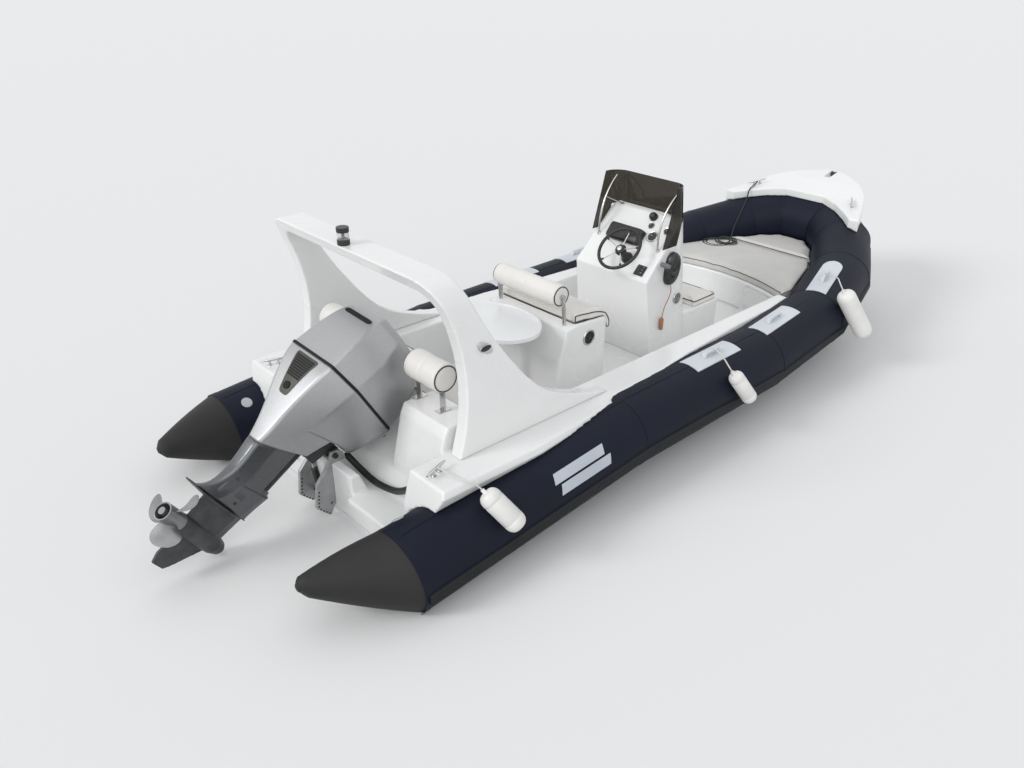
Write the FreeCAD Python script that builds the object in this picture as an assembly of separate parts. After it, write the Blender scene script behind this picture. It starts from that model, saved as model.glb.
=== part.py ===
import FreeCAD
import Part
import math
import os

from FreeCAD import Placement, Rotation, Vector

# Rigid inflatable boat afloat. Millimetres, +X to the bow, +Y to port, +Z up.
# The origin is amidships on the centreline, at the water's surface.

# Buoyancy tubes
TUBE_R = 260.0
TUBE_SEAT = 0.4
TUBE_LINE = [
    # x, y, z of the port tube's centre line, from the cone ring forward
    (-2820.0, 1055.0, 195.0),
    (-1000.0, 1050.0, 362.0),
    (600.0, 1050.0, 380.0),
    (1500.0, 1000.0, 440.0),
    (2250.0, 800.0, 560.0),
    (2760.0, 520.0, 680.0),
    (3000.0, 240.0, 745.0),
]
CONE_TIP = (-3362.0, 905.0, 300.0)
CONE_ROWS = [
    # share of the way from the tip to the tube, radius
    (0.0, 26.0), (0.018, 44.0), (0.06, 64.5), (1.0, TUBE_R),
]
STRAKE_DEPTH = 22.0
STRAKE_HEIGHT = 70.0
STRAKE_DROP = 40.0

# Handle pads and valves on the tubes
PAD_THICK = 6.0
PAD_WIDTH = 165.0
PADS = [
    # x of the centre, length, distance outboard of the tube's centre line, round forward end
    (-55.0, 510.0, 20.0, False),
    (800.0, 500.0, 10.0, False),
    (1730.0, 560.0, 0.0, True),
]
HANDLE_LENGTH = 190.0
HANDLE_WIDTH = 34.0
HANDLE_RISE = 36.0
HANDLE_BAR = 12.0
VALVE_R = 38.0
VALVE_X = -2715.0
VALVE_LEAN = 35.0
VALVE_RISE = 7.0

# Hull
TRANSOM_X = -2660.0
HULL_STATIONS = [
    # x, keel z, tube centre y, tube centre z, half width of the deck's lip
    (-2660.0, -255.0, 1055.0, 210.0, 1120.0),
    (-1800.0, -260.0, 1052.0, 289.0, 1130.0),
    (-1000.0, -263.0, 1050.0, 362.0, 1055.0),
    (-100.0, -265.0, 1050.0, 372.0, 935.0),
    (600.0, -265.0, 1050.0, 380.0, 885.0),
    (1500.0, -190.0, 1000.0, 440.0, 870.0),
    (2250.0, 30.0, 800.0, 560.0, 682.0),
    (2760.0, 290.0, 520.0, 680.0, 402.0),
    (2960.0, 440.0, 290.0, 730.0, 172.0),
]
SHEER_IN = 201.0
SHEER_DROP = 165.0
CHINE_IN = 175.0
CHINE_DROP = 262.0
CHINE_FLAT = 60.0

# Inner moulding
FLOOR_Z = 280.0
DECK_Z = 620.0
LIP_DEPTH = 45.0
LIP_SLOPE = 14.0
FOREDECK_Z = 550.0
WELL_FLOOR_HALF = 610.0
WELL_TOP_HALF = 735.0
BENCH_FRONT_X = -1560.0
BENCH_Z = 560.0
RISER_X = 1560.0
RISER_SAG = 190.0
RISER_HALF = 760.0
DECK_JOINT_X = RISER_X - RISER_SAG - 50.0  # where the foredeck moulding meets the liner
STERN_HALF = 790.0
PLATFORM_Z = 250.0
PLATFORM_X = -2700.0
PLATFORM_THICK = 45.0
QUARTER_X = -2600.0
QUARTER_Z = 400.0
QUARTER_RUN = 60.0
LEDGE_AFT_X = -2250.0
LEDGE_FWD_X = -2020.0
LEDGE_Z = 770.0
RECESS_HALF = 345.0
TRANSOM_TOP_Z = 380.0
TRANSOM_HALF = 330.0
TRANSOM_TOP_THICK = 62.0
TRANSOM_FOOT_THICK = 130.0
STEP_X = 2895.0
STEP_Z = 690.0
STEP_HALF = 230.0

# Nose cap
CAP_TOP_FWD_Z = 1190.0
CAP_SKIRT_Z = 760.0
CAP_FRONT_X = 3440.0
CAP_TOP = [
    # x, z of the cap's top in side view, from aft
    (2400.0, 950.0), (2560.0, 985.0), (2900.0, 1060.0), (3150.0, 1130.0), (CAP_FRONT_X, CAP_TOP_FWD_Z),
]
SLOT_WIDTH = 60.0
SLOT_LENGTH = 190.0
SLOT_DEPTH = 70.0
ROLLER_R = 24.0

TOWING_EYE = (2880.0, 318.0)
TOWING_EYE_R = 30.0
TOWING_EYE_THICK = 14.0
TOWING_EYE_REACH = 105.0
TOWING_HOLE_R = 16.0

# Foredeck cushions
CUSHION_THICK = 68.0
CUSHION_SEAM_X = 2330.0
CUSHION_FWD_X = 2888.0
CUSHION_SEAT = 0.4
CUSHION_GAP = 8.0

# Console
CONSOLE_SIDE = [
    # x, z of the side outline, from the aft foot round
    (110.0, FLOOR_Z), (20.0, 960.0), (427.0, 1360.0), (475.0, 1374.0), (525.0, 1330.0),
    (630.0, 660.0), (630.0, FLOOR_Z),
]
CONSOLE_FOOT_HALF = 400.0
CONSOLE_FOOT_X = 640.0
CONSOLE_TOP_HALF = 352.0
CONSOLE_TOP_X = 548.0
CONSOLE_TOP_Z = 1400.0
CONSOLE_CORNER_R = 170.0
DASH_A = CONSOLE_SIDE[1]
DASH_B = CONSOLE_SIDE[2]

# Forward seat, with a locker under its lid
FRONT_SEAT_X = 1050.0
FRONT_SEAT_Z = 560.0
FRONT_SEAT_HALF = 365.0
FRONT_SEAT_CORNER = 60.0
FRONT_LOCKER_AFT_X = 740.0
FRONT_LID_AFT_X = 700.0
FRONT_LID_THICK = 52.0
LOCKER_WALL = 35.0
LOCKER_FLOOR = 25.0

# Helm instruments
FIT_GAP = 0.3
POD_CENTRE_Y = 45.0
POD_HALF = 165.0
POD_FROM = 262.0
POD_TO = 392.0
POD_RISE = 52.0
GAUGES = [
    # along the dash, across it, radius
    (461.0, -122.0, 28.0), (376.0, -189.0, 48.0), (451.0, -287.0, 33.0),
]
GAUGE_RISE = 9.0
SWITCHES = (81.0, -262.0, 45.0)
COMPASS = (535.0, -100.0, 34.0, 52.0)
SCREEN_THICK = 6.0
SCREEN_HALF = 367.7
SCREEN_FRONT_X = 520.0
SCREEN_LEAN = -55.0
SCREEN_CORNER_R = 120.0
SCREEN_FOOT_Z = 1180.0
SCREEN_BROW_Z = 1352.0
SCREEN_TOP_Z = 1632.0
SCREEN_AFT = (200.0, 330.0)
RAIL_R = 8.0
RAIL_Y = 306.0
RAIL_FOOT_ALONG = 275.0
RAIL_MID = (262.0, 1420.0)
RAIL_HEAD = (420.6, 325.8, 1590.0)
RAIL_POST = (440.0, 266.0, 1364.2)
RAIL_POST_SHARE = 0.6
RAIL_FLANGE_R = 17.0

# Steering wheel
WHEEL_R = 176.0
WHEEL_RIM_R = 13.0
WHEEL_HUB_R = 42.0
WHEEL_HUB_DEPTH = 34.0
WHEEL_STANDOFF = 145.0
WHEEL_ALONG = 146.0
WHEEL_ACROSS = -83.0
WHEEL_COLUMN_R = 26.0
WHEEL_SPOKE_R = 5.0
WHEEL_SPOKES = 5

# Throttle, on the console's starboard side
THROTTLE = (300.0, 1010.0)
THROTTLE_R = 78.0
THROTTLE_DEPTH = 62.0

# Helm seat
SEAT_SIDE = [
    # x, z of the box's side outline, from the aft foot round
    (-960.0, FLOOR_Z), (-950.0, 620.0), (-880.0, 850.0), (-760.0, 868.0),
    (-480.0, 845.0), (-455.0, 780.0), (-470.0, FLOOR_Z),
]
SEAT_HALF = 420.0
SEAT_ROUND = 30.0
SEAT_CUSHION_THICK = 62.0
SEAT_LOCKER = (-850.0, -505.0)
SEAT_LOCKER_TOP_Z = 812.0
SEAT_MOUTH = (-772.0, -522.0)
SEAT_LID_AFT_X = -790.0
SEAT_NOSE = 50.0
SEAT_NOSE_Z = 745.0
SEAT_HINGE = (-440.0, 737.0)
SEAT_HINGE_Y = 260.0
HINGE_R = 6.0
FRONT_HINGE = (697.0, 566.8)
FRONT_HINGE_Y = 210.0
HINGE_HALF = 35.0
HELM_BOLSTER = (-850.0, 1075.0)
BOLSTER_R = 80.0
BOLSTER_BEVEL = 16.0
BOLSTER_HALF = 322.0
BOLSTER_POST_R = 14.0

# Table
TABLE_X = -1200.0
TABLE_Z = 900.0
TABLE_HALF_X = 290.0
TABLE_HALF_Y = 390.0
TABLE_THICK = 34.0
TABLE_RIM = 22.0
PEDESTAL_R = 38.0

# Stern bench
BENCH_CUSHION_THICK = 75.0
BENCH_PAD_HALF = 705.0
STERN_BOLSTER = (-2135.0, 1000.0)
STERN_BOLSTER_R = 95.0
STERN_BOLSTER_Y = (335.0, 640.0)
STERN_POST_Y = (365.0, 600.0)
STERN_POST_THICK = 6.0

# Arch
ARCH_AFT = [
    # x, z of the arch's aft edge in side view, foot first
    (-2270.0, DECK_Z), (-2190.0, 1000.0), (-2230.0, 1350.0), (-2400.0, 1720.0),
]
ARCH_FWD = [
    # x, z of the arch's forward edge in side view, head first
    (-2195.0, 1720.0), (-1990.0, 1330.0), (-1825.0, 1100.0), (-1560.0, 830.0), (-1330.0, 720.0),
    (-980.0, DECK_Z),
]
ARCH_FOOT_OUT = 925.0
ARCH_HEAD_OUT = 890.0
ARCH_HEAD_Z = 1720.0
ARCH_CORNER_R = 190.0
ARCH_LEG = 95.0
ARCH_BAR = 92.0
LIGHT_X = -2355.0
LIGHT_R = 38.0
VENT_X = -2050.0
VENT_Z = 1270.0
VENT_LONG = 62.0
VENT_SHORT = 30.0
VENT_DEPTH = 8.0

# Cleats
CLEAT_LENGTH = 190.0
CLEAT_BAR_R = 10.0
CLEAT_RISE = 38.0
CLEAT_POST_GAP = 60.0

# Outboard motor. Its own frame stands upright with the origin on the tilt tube.
PIVOT = Vector(-2632.0, 0.0, 430.0)
TILT = 58.0
STEER = 8.3
SWIVEL_BACK = 170.0
CLAMP_HALF = 118.0
CLAMP_THICK = 26.0
TILT_TUBE_R = 17.0
PIN_PLAY = 0.05
SWIVEL_HALF = 82.0
STEER_TUBE_R = 46.0
STEER_TUBE_Z = -430.0
SWIVEL_TOP_Z = 50.0
PAN_FLOOR_Z = 62.0
PAN_HOLLOW_R = 113.0
PAN_CUT_BACK = 12.0
LEG_HOLLOW_R = 54.0
LEG_FRONT_X = -204.0
YOKE_R = 60.0
YOKE_Z = -452.0
COWL_TOP_Z = 790.0
COWL_SEAM_Z = 345.0
PAN_FRONT_Z = -60.0
PAN_REAR_Z = -262.0
PAN_SPLIT = 0.5
SEAM_GAP = 6.0
PLATE_Z = -650.0
SHAFT_Z = -865.0
PROP_X = -560.0
PROP_R = 185.0
PROP_HUB_R = 56.0
PROP_HUB_LENGTH = 150.0
PROP_BLADES = 3
PROP_PITCH = 480.0
SKEG_Z = -1130.0

# Tilt cylinder, between the clamp brackets
CYLINDER_FOOT = (-58.0, -335.0)
CYLINDER_EYE = (-80.0, -85.0)
CYLINDER_R = 23.0
CYLINDER_PIN_R = 9.0
CYLINDER_BARREL = 235.0
CYLINDER_HEEL = 8.0
CYLINDER_BORE_FROM = 18.0
ROD_FROM = 133.0
CYLINDER_ROD_R = 10.0
CYLINDER_EYE_R = 19.0
CYLINDER_SLOT_HALF = 27.0
CYLINDER_SLOT_ROOM = 14.0

# Speakers and the foredeck locker
SPEAKER_R = 62.0
SPEAKER_DEPTH = 8.0
SPEAKER_AT = (-655.0, 735.0)
DOOR_Y = -460.0
DOOR_Z = 415.0
DOOR_WIDTH = 320.0
DOOR_HEIGHT = 200.0
DOOR_THICK = 16.0
DOOR_PROUD = 6.0
DOOR_GAP = 5.5
LOCKER_DEPTH = 250.0
DOOR_HINGE = (-14.5, 160.0)

# Fenders, each from its upper eye to its lower end
FENDERS = [
    # name, upper end x, y, z, lower end x, y, z, radius
    ("stern", -2325.0, -1209.0, 572.0, -2210.0, -1376.0, 372.0, 66.0),
    ("mid", -100.0, -1306.0, 580.0, 25.0, -1401.0, 362.0, 56.0),
    ("bow", 1500.0, -1234.0, 740.0, 1700.0, -1386.0, 352.0, 76.0),
]
FENDER_NECK_R = 13.0
FENDER_NECK = 26.0
LANYARD_R = 5.0
LANYARDS = {
    # from the cleat or handle to the fender's eye
    "stern": [(-2450.8, -946.6, 667.2), (-2425.0, -1010.0, 646.0), (-2398.0, -1085.0, 632.0), (-2374.0, -1137.0, 630.0),
              (-2351.8, -1170.1, 618.6), (-2335.7, -1193.5, 590.5)],
    "mid": [(-40.0, -1072.0, 680.0), (-48.0, -1110.0, 679.5), (-72.0, -1170.0, 671.0), (-102.0, -1228.0, 655.0),
              (-130.9, -1282.5, 633.9), (-112.3, -1296.7, 601.4)],
    "bow": [(1685.6, -950.5, 781.0), (1665.0, -1000.0, 788.0), (1618.0, -1070.0, 805.0), (1560.0, -1130.0, 822.0),
              (1508.0, -1168.0, 824.0), (1475.6, -1215.5, 787.3), (1488.6, -1225.3, 762.2)],
}

# Bow line, from the port cleat to its coil on the foredeck
BOW_LINE_R = 6.0
BOW_LINE = [
    (2813.3, 506.0, 1079.8), (2765.0, 512.0, 1043.0), (2700.0, 509.0, 1032.0), (2670.0, 506.5, 1000.0),
    (2652.1, 500.7, 928.4), (2596.3, 481.1, 904.1), (2542.0, 465.1, 872.5), (2479.9, 449.6, 824.7),
    (2433.0, 442.5, 779.5), (2393.2, 438.8, 730.1), (2355.0, 433.0, 676.0), (2318.0, 412.0, 636.0),
    (2277.7, 397.0, 626.6),
]
COIL = (2120.0, 390.0, 156.0, 72.0, 26.0)

BIG = 6000.0


# Small helpers

def v(x, y, z):
    return Vector(float(x), float(y), float(z))


def mirror_y(shape):
    """The same piece on the starboard side."""
    return shape.mirror(Vector(0, 0, 0), Vector(0, 1, 0))


def both_sides(shape):
    """A port piece and its starboard twin, as one compound."""
    return Part.makeCompound([shape, mirror_y(shape)])


def box(x0, x1, y0, y1, z0, z1):
    return Part.makeBox(x1 - x0, y1 - y0, z1 - z0, v(x0, y0, z0))


def polygon_face(points):
    """A flat face from a closed list of 3-D points."""
    return Part.Face(Part.makePolygon(points + [points[0]]))


def extrude_side(outline, y0, y1):
    """A side-view (x, z) outline, drawn out from y0 to y1."""
    face = polygon_face([v(x, y0, z) for x, z in outline])
    return face.extrude(v(0, y1 - y0, 0))


def extrude_front(outline, x0, x1):
    """A front-view (y, z) outline, drawn out from x0 to x1."""
    face = polygon_face([v(x0, y, z) for y, z in outline])
    return face.extrude(v(x1 - x0, 0, 0))


def extrude_plan(outline, z0, z1):
    """A plan-view (x, y) outline, drawn out from z0 to z1."""
    face = polygon_face([v(x, y, z0) for x, y in outline])
    return face.extrude(v(0, 0, z1 - z0))


def rod(a, b, radius):
    """A round bar between two points."""
    along = b - a
    return Part.makeCylinder(radius, along.Length, a, along)


def half_space(point, normal):
    """A big block whose base lies on the plane and that stands along the normal."""
    block = Part.makeBox(BIG, BIG, BIG, v(-BIG / 2, -BIG / 2, 0))
    block.Placement = Placement(point, Rotation(v(0, 0, 1), normal))
    return block


def turn_profile(rows, base, axis):
    """A solid of revolution from (distance along, radius) rows."""
    along = axis.normalize()
    side = along.cross(v(0.31, 0.77, 0.55)).normalize()
    points = [base + along * rows[0][0]]
    points += [base + along * d + side * r for d, r in rows if r > 0]
    points.append(base + along * rows[-1][0])
    return polygon_face(points).revolve(base, along, 360)


def arc_points(cx, cy, radius, start, end, count):
    """Points along an arc, angles in degrees."""
    step = (end - start) / (count - 1)
    angles = [math.radians(start + step * i) for i in range(count)]
    return [(cx + radius * math.cos(a), cy + radius * math.sin(a)) for a in angles]


# Runs of straight lengths, mitred where they meet

def bisector(before, here, after):
    first = (here - before).normalize()
    second = (after - here).normalize()
    return (first + second).normalize()


def mitred_run(points, make_bar, start_normal, end_normal):
    """Bars from point to point, each cut on the mitre planes at its two ends."""
    pieces = []
    last = len(points) - 1
    for i in range(last):
        a, b = points[i], points[i + 1]
        along = (b - a).normalize()
        n0 = start_normal if i == 0 else bisector(points[i - 1], a, b)
        n1 = end_normal if i == last - 1 else bisector(a, b, points[i + 2])
        bar = make_bar(a - along * TUBE_R, b + along * TUBE_R)
        bar = bar.cut(half_space(b, n1)).cut(half_space(a, n0 * -1.0))
        pieces.append(bar)
    return pieces[0].fuse(pieces[1:]).removeSplitter() if len(pieces) > 1 else pieces[0]


def tube_points():
    return [v(*row) for row in TUBE_LINE]


def front_normal():
    """The mitre plane between the port tube and the front cross tube."""
    points = tube_points()
    across = v(0, -1, 0)
    forward = (points[-1] - points[-2]).normalize()
    return (forward + across).normalize()


def side_tube(radius):
    """The port tube, from the cone ring to the front mitre."""
    points = tube_points()
    first = (points[1] - points[0]).normalize()
    return mitred_run(points, lambda a, b: rod(a, b, radius), first, front_normal())


def front_tube(radius):
    """The short cross tube between the two mitres at the bow."""
    corner = tube_points()[-1]
    port = front_normal()
    starboard = v(-port.x, port.y, -port.z)
    bar = rod(corner + v(0, TUBE_R, 0), v(corner.x, -corner.y - TUBE_R, corner.z), radius)
    bar = bar.cut(half_space(corner, port * -1.0))
    return bar.cut(half_space(v(corner.x, -corner.y, corner.z), starboard))


def all_tubes(radius):
    """Every tube as one body, for seating other pieces on it."""
    port = side_tube(radius)
    return port.fuse([mirror_y(port), front_tube(radius)])


def centre_at(x):
    """The port tube's centre point and direction at a station."""
    points = tube_points()
    for a, b in zip(points, points[1:]):
        if a.x <= x <= b.x:
            share = (x - a.x) / (b.x - a.x)
            return a + (b - a) * share, (b - a).normalize()
    return points[-1], (points[-1] - points[-2]).normalize()


def make_cones():
    """Round rings from each cone's blunt tip to the end of its tube."""
    points = tube_points()
    axis = (points[1] - points[0]).normalize()
    tip = v(*CONE_TIP)
    rings = [Part.Wire(Part.makeCircle(r, tip + (points[0] - tip) * share, axis)) for share, r in CONE_ROWS]
    return both_sides(Part.makeLoft(rings, True, True))


def make_strakes(tube_cut):
    """A flat rubbing strip along each tube's outer side."""
    points = tube_points()

    def bar(a, b):
        along = b - a
        out = v(0, 0, 1).cross(along).normalize()
        up = along.cross(out).normalize()
        base = a + out * (TUBE_R - STRAKE_DEPTH) + up * (-STRAKE_DROP - STRAKE_HEIGHT / 2)
        face = polygon_face([
            base, base + out * (2 * STRAKE_DEPTH), base + out * (2 * STRAKE_DEPTH) + up * STRAKE_HEIGHT,
            base + up * STRAKE_HEIGHT,
        ])
        return face.extrude(along)

    first = (points[1] - points[0]).normalize()
    last = (points[-1] - points[-2]).normalize()
    strip = mitred_run(points, bar, first, last).cut(tube_cut)
    return both_sides(strip)


def pad_outline(length, width, round_end):
    """Half-round or square-ended pad outline, as plan points about the origin."""
    half = width / 2
    if not round_end:
        return [(-length / 2, -half), (length / 2, -half), (length / 2, half), (-length / 2, half)]
    nose = arc_points(length / 2 - half, 0.0, half, -90.0, 90.0, 13)
    return [(-length / 2, -half)] + nose + [(-length / 2, half)]


def pad_frame(x, outboard):
    """Placement at a pad: x along the tube, z up."""
    centre, along = centre_at(x)
    yaw = math.degrees(math.atan2(along.y, along.x))
    side = v(-along.y, along.x, 0).normalize()
    spot = centre + side * outboard
    return Placement(spot, Rotation(v(0, 0, 1), yaw)), along


def make_pads(outer, inner):
    pads = []
    skin = outer.cut(inner)
    for x, length, outboard, round_end in PADS:
        place, along = pad_frame(x, outboard)
        face = polygon_face([v(px, py, 0) for px, py in pad_outline(length, PAD_WIDTH, round_end)])
        prism = face.extrude(v(0, 0, 2 * TUBE_R))
        prism.Placement = place
        pads.append(skin.common(prism))
    return Part.makeCompound([both_sides(pad) for pad in pads])


def make_handles():
    handles = []
    for x, length, outboard, round_end in PADS:
        place, along = pad_frame(x, outboard)
        top = math.sqrt((TUBE_R + PAD_THICK) ** 2 - (abs(outboard) + HANDLE_WIDTH / 2) ** 2)
        half = HANDLE_LENGTH / 2
        seat = top - PAD_THICK
        crown = TUBE_R + PAD_THICK + HANDLE_RISE
        side = [
            (-half, seat), (-half + 2 * HANDLE_BAR, seat), (-half + 3 * HANDLE_BAR, crown - HANDLE_BAR),
            (half - 3 * HANDLE_BAR, crown - HANDLE_BAR), (half - 2 * HANDLE_BAR, seat), (half, seat),
            (half - HANDLE_BAR, crown - HANDLE_BAR / 2), (half - 2 * HANDLE_BAR, crown),
            (-half + 2 * HANDLE_BAR, crown), (-half + HANDLE_BAR, crown - HANDLE_BAR / 2),
        ]
        bar = extrude_side(side, -HANDLE_WIDTH / 2, HANDLE_WIDTH / 2)
        pitch = -math.degrees(math.asin(along.z))
        bar.Placement = place.multiply(Placement(v(0, 0, 0), Rotation(v(0, 1, 0), pitch)))
        handles.append(bar)
    pad_skin = all_tubes(TUBE_R + PAD_THICK + TUBE_SEAT)
    return Part.makeCompound([both_sides(handle.cut(pad_skin)) for handle in handles])


def make_valves():
    centre, along = centre_at(VALVE_X)
    lean = math.radians(VALVE_LEAN)
    out = v(0, -math.sin(lean), math.cos(lean))
    disc = Part.makeCylinder(VALVE_R, 3 * VALVE_RISE, centre + out * (TUBE_R - 2 * VALVE_RISE), out)
    disc = disc.cut(rod(centre - along * BIG / 4, centre + along * BIG / 4, TUBE_R + TUBE_SEAT))
    return both_sides(disc)


# Hull and inner moulding

def hull_section(row):
    """One hull frame: keel, chine flat and side, closed by a level top."""
    x, keel, ty, tz, lip = row
    side, top = ty - SHEER_IN, tz - SHEER_DROP
    chine_y, chine_z = ty - CHINE_IN, tz - CHINE_DROP
    half = [(chine_y - CHINE_FLAT, chine_z - 8.0), (chine_y, chine_z), (side, top)]
    right = [v(x, y, z) for y, z in half]
    left = [v(x, -y, z) for y, z in reversed(half)]
    points = [v(x, 0, keel)] + right + left
    return Part.makePolygon(points + [points[0]])


def deck_section(row):
    """One frame of the inner moulding, standing on the hull's level top."""
    x, keel, ty, tz, lip = row
    side, base = ty - SHEER_IN, tz - SHEER_DROP
    half = [(side, base), (lip, DECK_Z - LIP_DEPTH), (lip - LIP_SLOPE, DECK_Z)]
    points = [v(x, y, z) for y, z in half] + [v(x, -y, z) for y, z in reversed(half)]
    return Part.makePolygon(points + [points[0]])


def split_deck(deck):
    """Parts the inner moulding into the liner and the foredeck, which share a flat joint."""
    ahead = box(DECK_JOINT_X, BIG, -BIG, BIG, -BIG, BIG)
    return deck.cut(ahead), deck.common(ahead)


def make_hull(tube_cut):
    sections = [hull_section(row) for row in HULL_STATIONS]
    hull = Part.makeLoft(sections, True, True)
    return hull.cut(tube_cut)


def well_outline(half, aft_x, fwd_x):
    """Cockpit outline in plan: square corners aft, a forward edge that bows forward."""
    arc = []
    for i in range(9):
        y = -half + 2 * half * i / 8
        arc.append((fwd_x - RISER_SAG * (y / RISER_HALF) ** 2, y))
    return [(aft_x, -half)] + arc + [(aft_x, half)]


def make_well():
    """The space that the crew stands in, wider at the top than at the floor."""
    low = [v(x, y, FLOOR_Z) for x, y in well_outline(WELL_FLOOR_HALF, BENCH_FRONT_X, RISER_X)]
    high = [v(x, y, DECK_Z + 1.0) for x, y in well_outline(WELL_TOP_HALF, BENCH_FRONT_X, RISER_X)]
    low_wire = Part.makePolygon(low + [low[0]])
    high_wire = Part.makePolygon(high + [high[0]])
    return Part.makeLoft([low_wire, high_wire], True, True)


def stern_profile():
    """Side view of the stern across the middle: platform, slope, ledge, bench."""
    slope = [(-2440.0, PLATFORM_Z + 20.0), (-2370.0, PLATFORM_Z + 95.0), (LEDGE_AFT_X - 30.0, LEDGE_Z - 60.0)]
    return (
        [(-2480.0, PLATFORM_Z)] + slope
        + [(LEDGE_AFT_X, LEDGE_Z), (LEDGE_FWD_X, LEDGE_Z), (LEDGE_FWD_X + 50.0, BENCH_Z),
           (BENCH_FRONT_X, BENCH_Z), (BENCH_FRONT_X, FLOOR_Z - 20.0), (-2480.0, FLOOR_Z - 60.0)]
    )


def motor_recess():
    """What the ledge leaves free in the middle for the motor when it is tilted up."""
    floor = [(-2372.0, 344.0), (-2210.0, 395.0), (-2050.0, 505.0), (-1985.0, BENCH_Z + 1.0)]
    return extrude_side(floor + [(-1900.0, BENCH_Z + 1.0), (-1900.0, 900.0), (-2372.0, 900.0)],
                        -RECESS_HALF, RECESS_HALF)


def make_deck(tube_cut):
    sections = [deck_section(row) for row in HULL_STATIONS]
    deck = Part.makeLoft(sections, True, True)
    deck = deck.cut(make_well())
    stern_gap = box(-BIG, BENCH_FRONT_X, -STERN_HALF, STERN_HALF, PLATFORM_Z, BIG)
    deck = deck.cut(stern_gap)
    quarter = extrude_side(
        [(-BIG, PLATFORM_Z), (QUARTER_X, PLATFORM_Z), (QUARTER_X, QUARTER_Z),
         (QUARTER_X + QUARTER_RUN, DECK_Z), (QUARTER_X + QUARTER_RUN, BIG), (-BIG, BIG)], -BIG, BIG)
    deck = deck.cut(quarter)
    stern = extrude_side(stern_profile(), -STERN_HALF, STERN_HALF).cut(motor_recess())
    deck = deck.fuse(stern)
    foredeck = box(RISER_X - RISER_SAG - 20.0, BIG, -BIG, BIG, FOREDECK_Z, BIG)
    deck = deck.cut(foredeck)
    step = box(STEP_X, tube_points()[-1].x, -STEP_HALF, STEP_HALF, FOREDECK_Z - 40.0, STEP_Z)
    deck = deck.fuse(step)
    platform = box(PLATFORM_X, TRANSOM_X, -STERN_HALF, -TRANSOM_HALF, PLATFORM_Z - PLATFORM_THICK, PLATFORM_Z)
    deck = deck.fuse([platform, mirror_y(platform)])
    transom = extrude_side(
        [(TRANSOM_X, PLATFORM_Z - 30.0), (TRANSOM_X, TRANSOM_TOP_Z),
         (TRANSOM_X + TRANSOM_TOP_THICK, TRANSOM_TOP_Z),
         (TRANSOM_X + TRANSOM_FOOT_THICK, PLATFORM_Z - 30.0)], -TRANSOM_HALF, TRANSOM_HALF)
    deck = deck.fuse(transom)
    return deck.cut([tube_cut, make_door_pocket()]).removeSplitter()


# Bow fittings

def cap_outline():
    """Half plan of the nose cap, port side, from the aft outer corner forward."""
    outer = [(2600.0, 725.0), (2800.0, 648.0), (3050.0, 525.0), (3235.0, 370.0), (3360.0, 190.0)]
    inner = [(2885.0, 200.0), (2800.0, 370.0), (2690.0, 520.0), (2590.0, 630.0)]
    return outer, inner


def make_cap(tube_cut):
    outer, inner = cap_outline()
    port = outer + [(CAP_FRONT_X, 0.0)]
    plan = port + [(x, -y) for x, y in reversed(outer)] + [(x, -y) for x, y in reversed(inner)] + inner
    cap = extrude_plan(plan, CAP_SKIRT_Z, BIG / 3)
    top = extrude_side(
        CAP_TOP + [(CAP_FRONT_X + 50.0, CAP_TOP_FWD_Z), (CAP_FRONT_X + 50.0, 0.0), (CAP_TOP[0][0], 0.0)],
        -BIG, BIG)
    cap = cap.common(top)
    cap = cap.cut(tube_cut)
    slot_floor = CAP_TOP_FWD_Z - SLOT_DEPTH
    slot = box(CAP_FRONT_X - SLOT_LENGTH, BIG, -SLOT_WIDTH / 2, SLOT_WIDTH / 2, slot_floor, BIG)
    return cap.cut(slot)


def make_roller():
    """Anchor roller on its pin, between the slot's cheeks."""
    x = CAP_FRONT_X - 45.0
    z = CAP_TOP_FWD_Z - SLOT_DEPTH + ROLLER_R + 6.0
    half = SLOT_WIDTH / 2 - 4.0
    rows = [(0.0, ROLLER_R), (half - 13.0, ROLLER_R), (half - 5.0, ROLLER_R - 7.0), (half + 5.0, ROLLER_R - 7.0),
            (half + 13.0, ROLLER_R), (2 * half, ROLLER_R)]
    roller = turn_profile(rows, v(x, -half, z), v(0, 1, 0))
    pin = rod(v(x, -SLOT_WIDTH / 2 + FIT_GAP, z), v(x, SLOT_WIDTH / 2 - FIT_GAP, z), 6.0)
    return roller.fuse(pin)


def cleat():
    """Horn cleat along X, its base on z = 0."""
    length, r = CLEAT_LENGTH, CLEAT_BAR_R
    rows = [(0.0, r * 0.55), (length * 0.25, r), (length * 0.75, r), (length, r * 0.55)]
    bar = turn_profile(rows, v(-length / 2, 0, CLEAT_RISE), v(1, 0, 0))
    parts = []
    for x in (-CLEAT_POST_GAP / 2, CLEAT_POST_GAP / 2):
        parts.append(Part.makeCylinder(CLEAT_BAR_R * 0.9, CLEAT_RISE, v(x, 0, 0)))
        parts.append(Part.makeCylinder(CLEAT_BAR_R * 1.7, 5.0, v(x, 0, 0)))
    return bar.fuse(parts)


CLEATS = [
    # x, y of the base, yaw in degrees
    (2830.0, 520.0, -32.0),
    (-2455.0, 935.0, -20.0),
]


def cap_top_at(x):
    """Height of the cap's top at a station, and its slope in degrees."""
    for (x0, z0), (x1, z1) in zip(CAP_TOP, CAP_TOP[1:]):
        if x0 <= x <= x1:
            return z0 + (z1 - z0) * (x - x0) / (x1 - x0), math.degrees(math.atan2(z1 - z0, x1 - x0))


def make_cleats(which):
    x, y, yaw = CLEATS[which]
    shape = cleat()
    z, slope = cap_top_at(x) if which == 0 else (DECK_Z, 0.0)
    turn = Rotation(v(0, 1, 0), -slope).multiply(Rotation(v(0, 0, 1), yaw))
    shape.Placement = Placement(v(x, y, z), turn)
    return both_sides(shape)


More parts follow.
